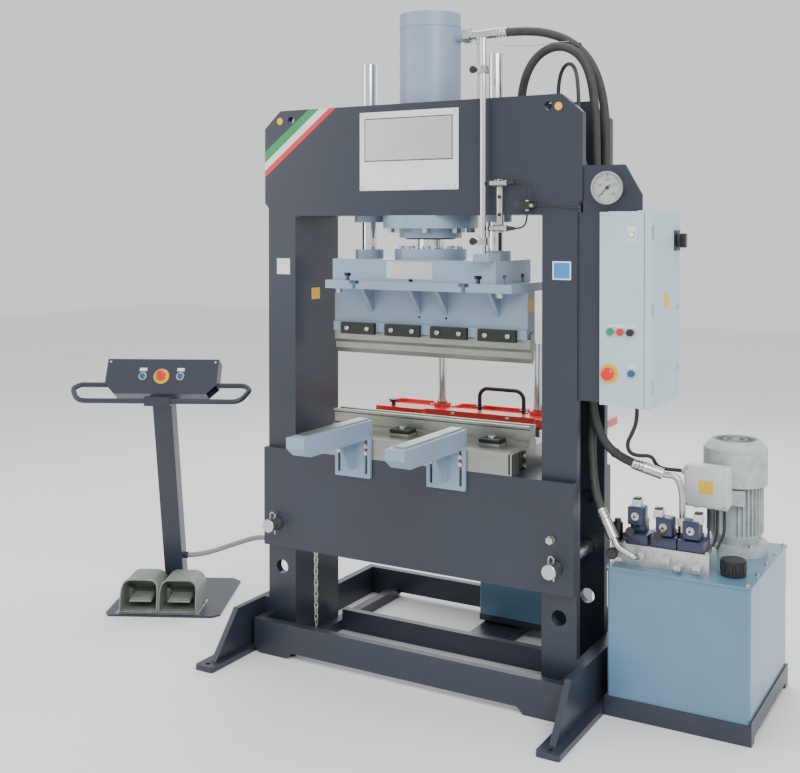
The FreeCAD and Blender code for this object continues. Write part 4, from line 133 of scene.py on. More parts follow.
def size(name):
    return getattr(bpy.context.scene.press_sizes, name) / MM


# ---------------------------------------------------------------- shader values
class Value:
    """A shader value: arithmetic on it adds Math nodes."""

    def __init__(self, finish, socket):
        self.finish = finish
        self.socket = socket

    def math(self, operation, first, second):
        return self.finish.node("ShaderNodeMath", {"operation": operation}, [first, second])

    def __add__(self, other):
        return self.math("ADD", self, other)

    def __sub__(self, other):
        return self.math("SUBTRACT", self, other)

    def __rsub__(self, other):
        return self.math("SUBTRACT", other, self)

    def __mul__(self, other):
        return self.math("MULTIPLY", self, other)

    __radd__ = __add__
    __rmul__ = __mul__


class Finish:
    """One procedural material."""

    def __init__(self, name):
        self.material = bpy.data.materials.new(name)
        self.material.use_nodes = True
        self.tree = self.material.node_tree
        self.shader = self.tree.nodes["Principled BSDF"]
        self.place = self.node("ShaderNodeTexCoord", output="Object")

    def node(self, kind, settings=None, inputs=(), output=0):
        """Add a node of a kind: its settings first, then the values or links of its sockets."""
        node = self.tree.nodes.new(kind)
        for key, value in (settings or {}).items():
            setattr(node, key, value)
        pairs = inputs.items() if isinstance(inputs, dict) else enumerate(inputs)
        for key, value in pairs:
            self.feed(node.inputs[key], value)
        return Value(self, node.outputs[output])

    def feed(self, socket, value):
        if isinstance(value, Value):
            self.tree.links.new(value.socket, socket)
        elif hasattr(value, "__len__") and len(value) == 3 and socket.type == "RGBA":
            socket.default_value = (*value, 1)
        else:
            socket.default_value = value

    def stretched(self, stretch):
        return self.node("ShaderNodeMapping", inputs={"Vector": self.place, "Scale": stretch})

    def noise(self, scale, detail=2.0, rough=0.5, place=None):
        inputs = {"Vector": place or self.place, "Scale": scale, "Detail": detail, "Roughness": rough}
        return self.node("ShaderNodeTexNoise", inputs=inputs)

    def cells(self, scale, place=None):
        return self.node("ShaderNodeTexVoronoi", inputs={"Vector": place or self.place, "Scale": scale})

    def ramp(self, value, low, high):
        """0 below low, 1 above high."""
        return self.node("ShaderNodeMapRange", {"clamp": True}, [value, low, high, 0.0, 1.0])

    def mix(self, factor, first, second):
        return self.node("ShaderNodeMix", {"data_type": "RGBA"}, {0: factor, 6: first, 7: second}, output=2)

    def bump(self, height, strength, depth):
        return self.node("ShaderNodeBump", inputs={"Strength": strength, "Distance": depth, "Height": height})

    def set(self, **sockets):
        for name, value in sockets.items():
            self.feed(self.shader.inputs[name.replace("_", " ")], value)
        return self.material


def shade(tone, factor):
    return tuple(min(1.0, c * factor) for c in tone)


def enamel(name, tone, rough=0.36, relief=0.10, grain=420.0, dust=0.10, coat=0.25):
    """Sprayed enamel: soft orange peel, slow cloudiness, light scuffs and a little dust."""
    f = Finish(name)
    cloud = f.ramp(f.noise(2.2, 3.0), 0.35, 0.68)
    base = f.mix(cloud, shade(tone, 0.90), shade(tone, 1.12))
    scuff = f.ramp(f.noise(26.0, 8.0, 0.75, f.stretched((1.0, 1.0, 3.5))), 0.64, 0.78)
    dusty = tuple(c + (0.32 - c) * 0.30 for c in tone)
    base = f.mix(scuff * dust, base, dusty)
    peel = f.noise(grain, 1.5)
    fine = f.noise(70.0, 2.0)
    return f.set(Base_Color=base, Roughness=rough - 0.05 + fine * 0.12 + scuff * 0.12,
                 Coat_Weight=coat, Coat_Roughness=0.22, Normal=f.bump(peel, relief, 0.0006))


def textured_enamel(name, tone, rough=0.42):
    """Powder coat with a fine leathery grain."""
    f = Finish(name)
    cloud = f.ramp(f.noise(3.0, 2.0), 0.3, 0.7)
    grain = f.cells(1100.0)
    base = f.mix(cloud, shade(tone, 0.93), shade(tone, 1.05))
    return f.set(Base_Color=base, Roughness=rough - 0.04 + f.noise(90.0) * 0.1,
                 Normal=f.bump(grain, 0.18, 0.0004))


def cast_enamel(name, tone):
    """Paint over a sand casting."""
    f = Finish(name)
    sand = f.noise(260.0, 4.0, 0.6)
    wave = f.noise(28.0, 2.0)
    base = f.mix(f.ramp(wave, 0.35, 0.7), shade(tone, 0.86), shade(tone, 1.10))
    grime = f.ramp(f.noise(9.0, 6.0, 0.7), 0.58, 0.8)
    base = f.mix(grime * 0.25, base, shade(tone, 0.45))
    return f.set(Base_Color=base, Roughness=0.40 + wave * 0.15, Normal=f.bump(sand, 0.25, 0.0008))


def ground_steel(name, tone, stretch=(0.6, 30.0, 30.0), rough=0.34, stain=0.30):
    """Ground, oiled steel: fine lines along the stroke of the wheel and faint stains."""
    f = Finish(name)
    place = f.stretched(stretch)
    lines = f.noise(36.0, 6.0, 0.7, place)
    patch = f.noise(7.0, 5.0, 0.62)
    base = f.mix(f.ramp(lines, 0.3, 0.72), shade(tone, 0.74), shade(tone, 1.25))
    spots = f.ramp(patch, 0.50, 0.72)
    base = f.mix(spots * stain, base, (tone[0] * 0.55, tone[1] * 0.52, tone[2] * 0.42))
    return f.set(Base_Color=base, Metallic=0.92 - spots * 0.2,
                 Roughness=rough - 0.08 + lines * 0.16 + spots * 0.14, Normal=f.bump(lines, 0.10, 0.0004))


def plated(name, tone, rough=0.26):
    """Zinc plate: bright, with cloudy patches."""
    f = Finish(name)
    cloud = f.noise(38.0, 4.0, 0.6)
    warm = (tone[0] * 1.06, tone[1] * 1.04, tone[2] * 0.94)
    base = f.mix(f.ramp(cloud, 0.35, 0.7), shade(tone, 0.82), warm)
    return f.set(Base_Color=base, Metallic=1.0, Roughness=rough - 0.06 + cloud * 0.16,
                 Normal=f.bump(f.noise(600.0), 0.05, 0.0002))


def chromed(name, tone):
    """Hard chrome with faint polishing rings."""
    f = Finish(name)
    rings = f.noise(60.0, 4.0, 0.6, f.stretched((1.0, 1.0, 40.0)))
    return f.set(Base_Color=f.mix(rings, shade(tone, 0.90), tone), Metallic=1.0,
                 Roughness=0.09 + rings * 0.08, Normal=f.bump(rings, 0.02, 0.0002))


def moulded(name, tone, rough=0.38, relief=0.12, grain=700.0):
    """Moulded plastic with a spark-eroded grain."""
    f = Finish(name)
    grain_value = f.noise(grain, 3.0)
    cloud = f.noise(12.0, 2.0)
    base = f.mix(f.ramp(cloud, 0.3, 0.7), shade(tone, 0.92), shade(tone, 1.06))
    return f.set(Base_Color=base, Roughness=rough - 0.05 + cloud * 0.1,
                 Normal=f.bump(grain_value, relief, 0.0003))


def wrapped_rubber(name, tone):
    """Hose cover with the cloth print of its wrapping."""
    f = Finish(name)
    weave = f.cells(420.0, f.stretched((1.0, 1.0, 0.45)))
    band = f.noise(14.0, 4.0, 0.6)
    dusty = f.ramp(band, 0.42, 0.75)
    base = f.mix(dusty * 0.55, tone, (0.085, 0.088, 0.080))
    return f.set(Base_Color=base, Roughness=0.56 + dusty * 0.2, Normal=f.bump(weave, 0.45, 0.0008))


def ribbed_sheath(name, tone):
    """Grey sheath with fine ribs round it."""
    f = Finish(name)
    ribs = f.noise(90.0, 1.0, 0.4, f.stretched((6.0, 1.0, 1.0)))
    return f.set(Base_Color=f.mix(ribs, shade(tone, 0.8), shade(tone, 1.2)), Roughness=0.5,
                 Normal=f.bump(ribs, 0.4, 0.0009))


def glazed(name):
    """Clear gauge window."""
    f = Finish(name)
    f.shader.inputs["Transmission Weight"].default_value = 1.0
    f.shader.inputs["IOR"].default_value = 1.45
    smear = f.noise(40.0, 3.0)
    return f.set(Base_Color=(0.95, 0.97, 0.97), Roughness=0.02 + smear * 0.04)


def glowing(name, tone, strength):
    f = Finish(name)
    f.shader.inputs["Emission Strength"].default_value = strength
    speck = f.noise(200.0)
    return f.set(Base_Color=tone, Emission_Color=f.mix(speck, shade(tone, 0.8), tone), Roughness=0.25)


FINISH = {}


def make_finishes():
    """Every finish, under the record's slot name where it has one."""
    c = colours()
    FINISH.update({
        "frame_paint": enamel("frame_enamel", tuple(c.frame), rough=0.40, relief=0.12, dust=0.35, coat=0.15),
        "light_paint": enamel("machine_enamel", tuple(c.machine), rough=0.38, dust=0.30),
        "tank_paint": enamel("tank_enamel", tuple(c.tank), rough=0.30, dust=0.12, coat=0.5),
        "cabinet_paint": textured_enamel("cabinet_enamel", tuple(c.cabinet)),
        "motor_paint": cast_enamel("motor_enamel", tuple(c.motor)),
        "red_paint": enamel("table_enamel", tuple(c.table), rough=0.28, dust=0.10, coat=0.5),
        "pedal_paint": cast_enamel("pedal_enamel", tuple(c.pedals)),
        "ground_steel": ground_steel("ground_steel", (0.36, 0.37, 0.33)),
        "bright_steel": plated("zinc_plate", (0.62, 0.63, 0.62)),
        "chrome_bar": chromed("hard_chrome", (0.78, 0.79, 0.80)),
        "black_steel": ground_steel("blackened_steel", (0.050, 0.055, 0.050), (6.0, 6.0, 6.0), 0.42, 0.2),
        "black_plastic": moulded("black_moulding", (0.018, 0.019, 0.020)),
        "hose_rubber": wrapped_rubber("hose_cover", tuple(c.hose)),
        "cable_sheath": moulded("cable_sheath", (0.016, 0.016, 0.017), 0.5, 0.2, 500.0),
        "conduit_sheath": ribbed_sheath("conduit_sheath", (0.30, 0.33, 0.31)),
        "box_plastic": moulded("grey_moulding", (0.60, 0.64, 0.62), 0.42),
        "manifold_metal": ground_steel("machined_aluminium", (0.60, 0.60, 0.58), (14.0, 14.0, 0.8),
                                       0.36, 0.12),
        "green_plastic": moulded("green_moulding", (0.02, 0.25, 0.10), 0.25, 0.03),
        "red_plastic": moulded("red_moulding", (0.72, 0.02, 0.012), 0.25, 0.03),
        "blue_plastic": moulded("blue_moulding", (0.02, 0.09, 0.30), 0.25, 0.03),
        "valve_body": enamel("valve_enamel", (0.022, 0.030, 0.075), rough=0.30, dust=0.1),
        "gauge_steel": plated("polished_rim", (0.70, 0.71, 0.71), 0.16),
        "white_enamel": enamel("white_enamel", (0.78, 0.79, 0.78), rough=0.30, relief=0.04, dust=0.05),
        "silver_plate": ground_steel("silver_plate", (0.66, 0.66, 0.64), (0.5, 40.0, 40.0), 0.30, 0.06),
        "yellow_label": moulded("yellow_label", (0.85, 0.50, 0.03), 0.32, 0.03),
        "green_label": moulded("green_label", (0.02, 0.28, 0.09), 0.32, 0.03),
        "white_label": moulded("white_label", (0.80, 0.80, 0.78), 0.35, 0.03),
        "red_label": moulded("red_label", (0.68, 0.03, 0.03), 0.32, 0.03),
        "blue_label": moulded("blue_label", (0.03, 0.24, 0.62), 0.32, 0.03),
        # dark_gap is painted shade: a near-black colour put in gaps and slots where only shadow shows
        "dark_gap": moulded("dark_gap", (0.006, 0.006, 0.007), 0.7, 0.05),
        "lamp": glowing("white_lamp", (0.85, 0.86, 0.80), 0.25),
        "window": glazed("gauge_window"),
    })


def finish(name):
    return FINISH[name]


# ---------------------------------------------------------------- modelling, in millimetres
def turned(direction):
    return Vector(direction).to_track_quat("Z", "Y").to_matrix().to_4x4()


def bevel(bm, edges, width, segments=2):
    bmesh.ops.bevel(bm, geom=list(edges), offset=width, offset_type="OFFSET", segments=segments, profile=0.5,
                    affect="EDGES", material=-1, clamp_overlap=True)


def block(bm, low, high, edge=0.0, segments=2, place=None):
    """A box between two corners, with rounded edges."""
    low, high = Vector(low), Vector(high)
    span = high - low
    matrix = Matrix.Translation((low + high) / 2) @ Matrix.Diagonal((*span, 1))
    made = bmesh.ops.create_cube(bm, size=1.0, matrix=(place or Matrix()) @ matrix)
    if edge:
        bevel(bm, {e for v in made["verts"] for e in v.link_edges}, min(edge, 0.45 * min(span)), segments)


def drum(bm, start, direction, radius, height, segments=28, top=None, chamfer=0.0):
    """A cylinder, cone or prism from start along direction."""
    direction = Vector(direction).normalized()
    matrix = Matrix.Translation(Vector(start) + direction * height / 2) @ turned(direction)
    made = bmesh.ops.create_cone(bm, cap_ends=True, cap_tris=False, segments=segments, radius1=radius,
                                 radius2=radius if top is None else top, depth=height, matrix=matrix)
    if chamfer:
        far = Vector(start) + direction * height
        rim = {e for v in made["verts"] for e in v.link_edges
               if all(abs((w.co - far).dot(direction)) < 0.01 for w in e.verts)}
        bevel(bm, rim, chamfer)


def lathe(bm, start, direction, profile, segments=32):
    """A turned shape: (radius, height) points spun about the axis through start."""
    matrix = Matrix.Translation(Vector(start)) @ turned(direction)
    verts = [bm.verts.new(matrix @ Vector((radius, 0, height))) for radius, height in profile]
    edges = [bm.edges.new(pair) for pair in zip(verts, verts[1:])]
    bmesh.ops.spin(bm, geom=verts + edges, cent=Vector(start), axis=Vector(direction).normalized(),
                   angle=2 * math.pi, steps=segments, use_merge=True, use_duplicate=False)


def cap_screw(bm, start, direction, radius, height):
    """Socket head: a chamfered drum with a recess."""
    socket = 0.55 * radius
    rim = 0.15 * radius
    lathe(bm, start, direction, [(0, 0.45 * height), (socket, 0.45 * height), (socket, height),
                                 (radius - rim, height), (radius, height - rim), (radius, 0), (0, 0)], 20)


def hex_bolt(bm, start, direction, across):
    """Hexagon head on its washer."""
    corner = across / math.sqrt(3)
    rise = 0.12 * across
    drum(bm, start, direction, 0.9975 * corner, rise, 24)
    head = Vector(start) + Vector(direction).normalized() * rise
    drum(bm, head, direction, corner, 0.62 * across, 6, chamfer=0.07 * across)


def bar(bm, points, radius, closed=False, steps=8, sides=3):
    """A bent round bar that follows points."""
    curve = bpy.data.curves.new("bar", "CURVE")
    curve.dimensions = "3D"
    curve.bevel_depth = radius
    curve.bevel_resolution = sides
    curve.use_fill_caps = True
    curve.resolution_u = steps
    spline = curve.splines.new("NURBS")
    spline.points.add(len(points) - 1)
    for target, point in zip(spline.points, points):
        target.co = (*point, 1)
    spline.order_u = 3
    spline.use_endpoint_u = not closed
    spline.use_cyclic_u = closed
    holder = bpy.data.objects.new("bar", curve)
    mesh = bpy.data.meshes.new_from_object(holder)
    bm.from_mesh(mesh)
    bpy.data.objects.remove(holder)
    bpy.data.curves.remove(curve)
    bpy.data.meshes.remove(mesh)


def piece(name, bm, finish_name, body="frame"):
    """Clean the shape, scale it to metres and put it on its body."""
    bmesh.ops.remove_doubles(bm, verts=bm.verts, dist=0.004)
    bmesh.ops.recalc_face_normals(bm, faces=bm.faces)
    bmesh.ops.scale(bm, vec=(MM, MM, MM), verts=bm.verts)
    for face in bm.faces:
        face.smooth = True
    for edge in bm.edges:
        edge.smooth = len(edge.link_faces) == 2 and edge.calc_face_angle(0) < SHARP
    mesh = bpy.data.meshes.new(name)
    bm.to_mesh(mesh)
    bm.free()
    obj = bpy.data.objects.new(name, mesh)
    bpy.context.scene.collection.objects.link(obj)
    mesh.materials.append(finish(finish_name))
    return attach(obj, body)


def panel(bm, x0, x1, z0, z1, y, thick=1.2, edge=0.4):
    """A thin plate on a face that looks towards -Y."""
    block(bm, (x0, y - thick, z0), (x1, y, z1), edge, 1)


# ---------------------------------------------------------------- hoses and cables (points in metres)
PRESSURE_HOSE = ((0.258, 0.0, 2.28), (0.345, 0.0, 2.28), (0.452, 0.002, 2.268), (0.548, 0.010, 2.226),
                 (0.612, 0.030, 2.150), (0.641, 0.058, 2.030), (0.642, 0.078, 1.870), (0.636, 0.080, 1.680),
                 (0.628, 0.058, 1.450), (0.624, 0.025, 1.230), (0.622, 0.004, 1.050), (0.626, -0.016, 0.890),
                 (0.640, -0.042, 0.762), (0.667, -0.064, 0.680), (0.704, -0.080, 0.622))
RETURN_HOSE = ((0.345, 0.045, 1.730), (0.345, 0.045, 1.850), (0.348, 0.028, 1.965), (0.356, 0.006, 2.065),
               (0.394, -0.014, 2.152), (0.455, -0.026, 2.203), (0.525, -0.032, 2.212), (0.588, -0.034, 2.178),
               (0.624, -0.030, 2.108), (0.636, -0.018, 2.000), (0.636, -0.004, 1.830), (0.632, 0.002, 1.630),
               (0.628, -0.010, 1.400), (0.632, -0.040, 1.200), (0.634, -0.046, 1.060), (0.646, -0.042, 0.950),
               (0.680, -0.030, 0.870), (0.742, -0.012, 0.822), (0.812, 0.004, 0.800))
GAUGE_LINE = ((0.475, 0.055, 1.700), (0.474, 0.052, 1.850), (0.476, 0.046, 1.965), (0.481, 0.037, 2.060),
              (0.490, 0.029, 2.116), (0.517, 0.006, 2.150), (0.555, -0.026, 2.150), (0.582, -0.049, 2.116),
              (0.592, -0.058, 2.050), (0.597, -0.064, 1.965), (0.602, -0.066, 1.885), (0.612, -0.058, 1.815),
              (0.634, -0.042, 1.762), (0.664, -0.028, 1.734), (0.694, -0.026, 1.724), (0.720, -0.041, 1.722),
              (0.735, -0.067, 1.722), (0.735, -0.0985, 1.722))
POWER_CABLE = ((0.806, -0.086, 1.012), (0.806, -0.086, 0.970), (0.790, -0.084, 0.930), (0.768, -0.076, 0.890),
               (0.772, -0.054, 0.856), (0.794, -0.022, 0.844), (0.808, 0.018, 0.840), (0.812, 0.060, 0.826),
               (0.810, 0.092, 0.804), (0.813, 0.118, 0.785), (0.829, 0.143, 0.774), (0.856, 0.1565, 0.772),
               (0.885, 0.1565, 0.772))
CONDUIT = ((-1.2324, 0.0918, 0.190), (-1.1816, 0.1176, 0.190), (-1.060, 0.222, 0.236), (-0.985, 0.262, 0.262),
           (-0.905, 0.262, 0.262), (-0.830, 0.228, 0.268), (-0.760, 0.168, 0.300), (-0.700, 0.104, 0.348),
           (-0.650, 0.060, 0.372), (-0.596, 0.040, 0.378))
SENSOR_LEADS = {
    "upper": ((0.414, -0.1765, 1.744), (0.438, -0.1765, 1.744), (0.458, -0.1745, 1.724),
              (0.458, -0.1725, 1.682)),
    "lower": ((0.414, -0.1765, 1.592), (0.438, -0.1765, 1.592), (0.458, -0.1745, 1.612),
              (0.458, -0.1725, 1.654)),
    "out": ((0.490, -0.1725, 1.668), (0.536, -0.1725, 1.664), (0.586, -0.1685, 1.661),
            (0.618, -0.1595, 1.658), (0.630, -0.1465, 1.656)),
}
COIL_LEADS = {
    "a": ((0.975, 0.1565, 0.654), (0.975, 0.1565, 0.616), (0.979, 0.1365, 0.576), (0.993, 0.081, 0.556),
          (0.984, 0.055, 0.522), (0.984, 0.055, 0.490)),
    "b": ((1.003, 0.1565, 0.654), (1.003, 0.1565, 0.616), (1.007, 0.1365, 0.576), (1.009, 0.087, 0.556),
          (1.000, 0.061, 0.522), (1.000, 0.061, 0.490)),
    "c": ((1.027, 0.1565, 0.654), (1.027, 0.1565, 0.616), (1.031, 0.1365, 0.576), (1.025, 0.093, 0.556),
          (1.016, 0.067, 0.522), (1.016, 0.067, 0.490)),
}


def cable(name, points, thick, node, slot):
    """One hose or cable along its points, from a fitting back to a fitting."""
    curve = bpy.data.curves.new(name, "CURVE")
    curve.dimensions = "3D"
    curve.bevel_depth = thick / 2
    curve.bevel_resolution = 6
    curve.resolution_u = 16
    curve.use_fill_caps = True
    spline = curve.splines.new("NURBS")
    spline.points.add(len(points) - 1)
    for target, point in zip(spline.points, points):
        target.co = (*point, 1)
    spline.order_u = 3
    spline.use_endpoint_u = True
    obj = bpy.data.objects.new(name, curve)
    bpy.context.scene.collection.objects.link(obj)
    curve.materials.append(finish(slot))
    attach(obj, "frame")
    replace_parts(obj, node)


class PRESS_OT_camera(bpy.types.Operator):
    """Place the camera in front of the press, a little to its right"""
    bl_idname = "press.camera"
    bl_label = "Camera"

    def execute(self, context):
        data = bpy.data.cameras.new("camera")
        data.sensor_width = 36
        data.lens = 50.47
        data.shift_y = -0.181
        camera = bpy.data.objects.new("camera", data)
        camera.location = (1.958, -3.5985, 1.600)
        camera.rotation_euler = (math.radians(89.20), 0, math.radians(30.12))
        context.scene.collection.objects.link(camera)
        context.scene.camera = camera
        return {"FINISHED"}


class PRESS_OT_cables(bpy.types.Operator):
    """Lay the hydraulic hoses, the gauge line and the electric cables"""
    bl_idname = "press.cables"
    bl_label = "Hoses and cables"

    def execute(self, context):
        cable("main_hose", PRESSURE_HOSE, 0.030, "pressure_hose", "hose_rubber")
        cable("drain_hose", RETURN_HOSE, 0.030, "return_hose", "hose_rubber")
        cable("dial_line", GAUGE_LINE, 0.013, "gauge_line", "hose_rubber")
        cable("motor_cable", POWER_CABLE, 0.013, "power_cable", "cable_sheath")
        cable("console_conduit", CONDUIT, 0.021, "conduit", "conduit_sheath")
        for name, points in SENSOR_LEADS.items():
            cable("sensor_lead_" + name, points, 0.006, "control_leads",
                  "cable_sheath")
        for (name, points), real in zip(COIL_LEADS.items(), (0.214, 0.207, 0.203)):
            cable("coil_lead_" + name, points, 0.009, "control_leads", "cable_sheath")
        return {"FINISHED"}


class PRESS_OT_paint(bpy.types.Operator):
    """Give every structural part its finish"""
    bl_idname = "press.paint"
    bl_label = "Paint"

    def execute(self, context):
        # a slot named dark_gap is given the near-black painted shade finish
        for row in frame["record"]["subparts"]:
            obj = frame["nodes"][row["node"]]
            for slot in obj.material_slots:
                slot.material = finish(row["material_slot"])
        return {"FINISHED"}


class PRESS_OT_stage(bpy.types.Operator):
    """Set a pale floor and soft studio lights"""
    bl_idname = "press.stage"
    bl_label = "Stage"

    def execute(self, context):
        f = Finish("studio_floor")
        marks = f.noise(1.5, 3.0)
        floor_paint = f.set(Base_Color=f.mix(marks, (0.86, 0.86, 0.86), (0.90, 0.90, 0.90)), Roughness=0.6)
        bm = bmesh.new()
        bmesh.ops.create_grid(bm, x_segments=1, y_segments=1, size=14.0)
        mesh = bpy.data.meshes.new("studio_floor")
        bm.to_mesh(mesh)
        bm.free()
        floor = bpy.data.objects.new("studio_floor", mesh)
        mesh.materials.append(floor_paint)
        context.scene.collection.objects.link(floor)
        world = bpy.data.worlds.new("studio")
        world.use_nodes = True
        background = world.node_tree.nodes["Background"]
        background.inputs["Color"].default_value = (0.97, 0.98, 1.0, 1)
        background.inputs["Strength"].default_value = 1.0
        context.scene.world = world
        lamps = (("key", (3.6, -3.4, 4.2), 3.2, 190.0), ("fill", (-4.2, -3.0, 2.6), 3.6, 70.0),
                 ("top", (0.2, 0.4, 5.6), 4.0, 120.0), ("back", (-1.5, 4.2, 3.4), 3.0, 90.0))
        for name, place, width, power in lamps:
            data = bpy.data.lights.new(name, "AREA")
            data.size = width
            data.energy = power
            lamp = bpy.data.objects.new(name, data)
            lamp.location = place
            aim = Vector((0, 0, 1.1)) - Vector(place)
            lamp.rotation_euler = aim.to_track_quat("-Z", "Y").to_euler()
            context.scene.collection.objects.link(lamp)
        return {"FINISHED"}


OPERATORS = [PRESS_OT_camera, PRESS_OT_cables, PRESS_OT_paint]


# ---------------------------------------------------------------- plates, screws and small fittings
FRONT = box("press_frame")[0].y
CABINET_FRONT = box("cabinet_case")[0].y
DOOR_FACE = box("cabinet_door")[1].x
TRIP_HEIGHTS = (2128, 1548)
CHAIN_X, CHAIN_Y, CHAIN_LINKS = -396, -162.5, 13
COLUMN_X, COLUMN_Y = 214, 495.5
SWITCH_Y = -172.5
LAMP_X, LAMP_Z = 812.5, 1572
MANIFOLD_FRONT = -46.5
VALVE_FRONT, VALVE_BASE_HEIGHT = -42.5, 34
NEEDLE_VALVE_X, NEEDLE_VALVE_Z = 723, 528
TERMINAL_LID_Z = (668, 800)


def prism(bm, outline, y, thick=0.8):
    """A flat shape with (x, z) corners, standing on a face that looks towards -Y."""
    near = [bm.verts.new((x, y - thick, z)) for x, z in outline]
    far = [bm.verts.new((x, y, z)) for x, z in outline]
    bm.faces.new(near)
    bm.faces.new(list(reversed(far)))
    for i in range(len(outline)):
        bm.faces.new((near[i], near[i - 1], far[i - 1], far[i]))


def ring(bm, start, direction, inner, outer, height):
    """A flat ring with a softened rim."""
    soft = 0.2 * min(height, outer - inner)
    lathe(bm, start, direction, [(inner, 0), (inner, height), (outer - soft, height), (outer, height - soft),
                                 (outer, 0), (inner, 0)])


def link_path(centre, half, radius, across):
    """Corner points of a chain link that hangs in the plane of Z and across."""
    across = Vector(across)
    path = []
    for turn in range(12):
        angle = 2 * math.pi * turn / 12
        rise = half if math.sin(angle) > 0.01 else -half if math.sin(angle) < -0.01 else 0
        aside = across * radius * math.cos(angle)
        path.append(Vector(centre) + aside + UP * (rise + radius * math.sin(angle)))
    return path


class PRESS_OT_plates(bpy.types.Operator):
    """Blank name plate, corner stripes and plain colour fields on the frame and ram"""
    bl_idname = "press.plates"
    bl_label = "Plates and colour fields"

    def execute(self, context):
        bm = bmesh.new()
        panel(bm, -212, 190, 1727, 2009, FRONT, 4, 1.5)
        piece("name_plate", bm, "white_enamel")
        bm = bmesh.new()
        panel(bm, -187, 165, 1835, 1983, FRONT - 4, 1.0)
        piece("name_panel", bm, "silver_plate")
        bm = bmesh.new()
        for x0, x1, z0, z1 in ((-190, 168, 1983, 1986), (-190, 168, 1832, 1835), (-190, -187, 1835, 1983),
                               (165, 168, 1835, 1983)):
            panel(bm, x0, x1, z0, z1, FRONT - 4, 1.4, 0.3)
        piece("name_panel_edge", bm, "black_plastic")
        bm = bmesh.new()
        for x in (-202, 180):
            for z in (1737, 1999):
                lathe(bm, (x, FRONT - 4, z), AHEAD, [(0, 2.2), (2.5, 1.8), (4.5, 0.6), (5, 0), (0, 0)], 16)
        piece("name_plate_rivets", bm, "bright_steel")
        left, top = box("press_frame")[0].x, box("press_frame")[1].z
        side, crest = (1882, 1840, 1810, 1785), (-437, -390, -347, -316)
        for i, tone in enumerate(("green_label", "white_label", "red_label")):
            bm = bmesh.new()
            band = [(left, side[i]), (left, side[i + 1]), (crest[i + 1], top), (crest[i], top)]
            prism(bm, band, FRONT, 0.7)
            piece(("green", "white", "red")[i] + "_stripe", bm, tone)
        for name, x, z in (("left_spot", -570, 1996), ("right_spot", 557, 1994)):
            bm = bmesh.new()
            ring(bm, (x, FRONT, z), AHEAD, 0.5, 17, 0.7)
            piece(name + "_edge", bm, "black_plastic")
            bm = bmesh.new()
            ring(bm, (x, FRONT - 0.7, z), AHEAD, 0.5, 13.5, 0.3)
            piece(name, bm, "yellow_label")
        bm = bmesh.new()
        panel(bm, -585, -525, 1418, 1478, FRONT, 0.7)
        piece("left_blank", bm, "white_label")
        bm = bmesh.new()
        panel(bm, 537, 602, 1423, 1484, FRONT, 0.7)
        piece("right_blank_edge", bm, "white_label")
        bm = bmesh.new()
        panel(bm, 542, 597, 1428, 1479, FRONT - 0.7, 0.4, 0.1)
        piece("right_blank", bm, "blue_label")
        bm = bmesh.new()
        block(bm, (-500, -40, 1318), (-499.2, 16, 1362), 0.2, 1)
        piece("inner_blank", bm, "yellow_label")
        bm = bmesh.new()
        panel(bm, -99, 89, 1412, 1474, box("ram_block")[0].y + 50.5, 1.2)
        piece("ram_blank", bm, "silver_plate", "ram")
        bm = bmesh.new()
        end = box("punch_holder")[1].x
        block(bm, (end, -24, 1300), (end + 0.8, 26, 1350), 0.2, 1)
        piece("holder_blank", bm, "yellow_label", "ram")
        return {"FINISHED"}


class PRESS_OT_ram_fittings(bpy.types.Operator):
    """Screws of the punch clamps and ram, and the trip clamps on the stroke rod"""
    bl_idname = "press.ram_fittings"
    bl_label = "Ram fittings"

    def execute(self, context):
        radius = size("cap_screw")
        bm = bmesh.new()
        for low, high in solids("punch_clamps"):
            for share in (0.2, 0.8):
                x = low.x + share * (high.x - low.x)
                cap_screw(bm, (x, low.y, (low.z + high.z) / 2), AHEAD, radius, 6)
        piece("punch_clamp_screws", bm, "bright_steel", "ram")
        bm = bmesh.new()
        for x in (-320, 336):
            hex_bolt(bm, (x, -126, box("tool_plate")[0].z), DOWN, size("hex_head"))
        piece("tool_plate_bolts", bm, "bright_steel", "ram")
        bm = bmesh.new()
        top = box("rod_collar")[1].z
        for turn in range(8):
            angle = math.radians(45 * turn + 22.5)
            cap_screw(bm, (106 * math.cos(angle), 106 * math.sin(angle), top), UP, 11, 9)
        piece("rod_collar_screws", bm, "bright_steel", "ram")
        bm = bmesh.new()
        for z in TRIP_HEIGHTS:
            block(bm, (280, -194, z - 13), (316, -161, z + 13), 2)
            block(bm, (256, -183, z - 8), (280, -169, z + 8), 1.5)
        piece("trip_clamps", bm, "bright_steel", "ram")
        bm = bmesh.new()
        for z in TRIP_HEIGHTS:
            knob = [(0, 0), (6, 0), (6, 5), (12, 8), (13, 14), (11, 18), (0, 18)]
            lathe(bm, (268, -183, z), AHEAD, knob, 24)
        piece("trip_clamp_knobs", bm, "black_plastic", "ram")
        return {"FINISHED"}


class PRESS_OT_cylinder_fittings(bpy.types.Operator):
    """Weld bead and rod wiper of the cylinder"""
    bl_idname = "press.cylinder_fittings"
    bl_label = "Cylinder fittings"

    def execute(self, context):
        low, high = box("cylinder_barrel")
        radius = -low.x
        bm = bmesh.new()
        lathe(bm, (0, 0, high.z - 52), UP, [(radius - 1, 0), (radius + 1.5, 1.5), (radius + 2, 3.5),
                                            (radius + 1.5, 5.5), (radius - 1, 7), (radius - 1, 0)], 64)
        piece("cylinder_weld", bm, "light_paint")
        bm = bmesh.new()
        lathe(bm, (0, 0, box("rod_gland")[0].z), DOWN, [(81, 0), (81, 5), (90, 5), (93, 0), (81, 0)], 48)
        piece("rod_wiper", bm, "black_plastic")
        return {"FINISHED"}


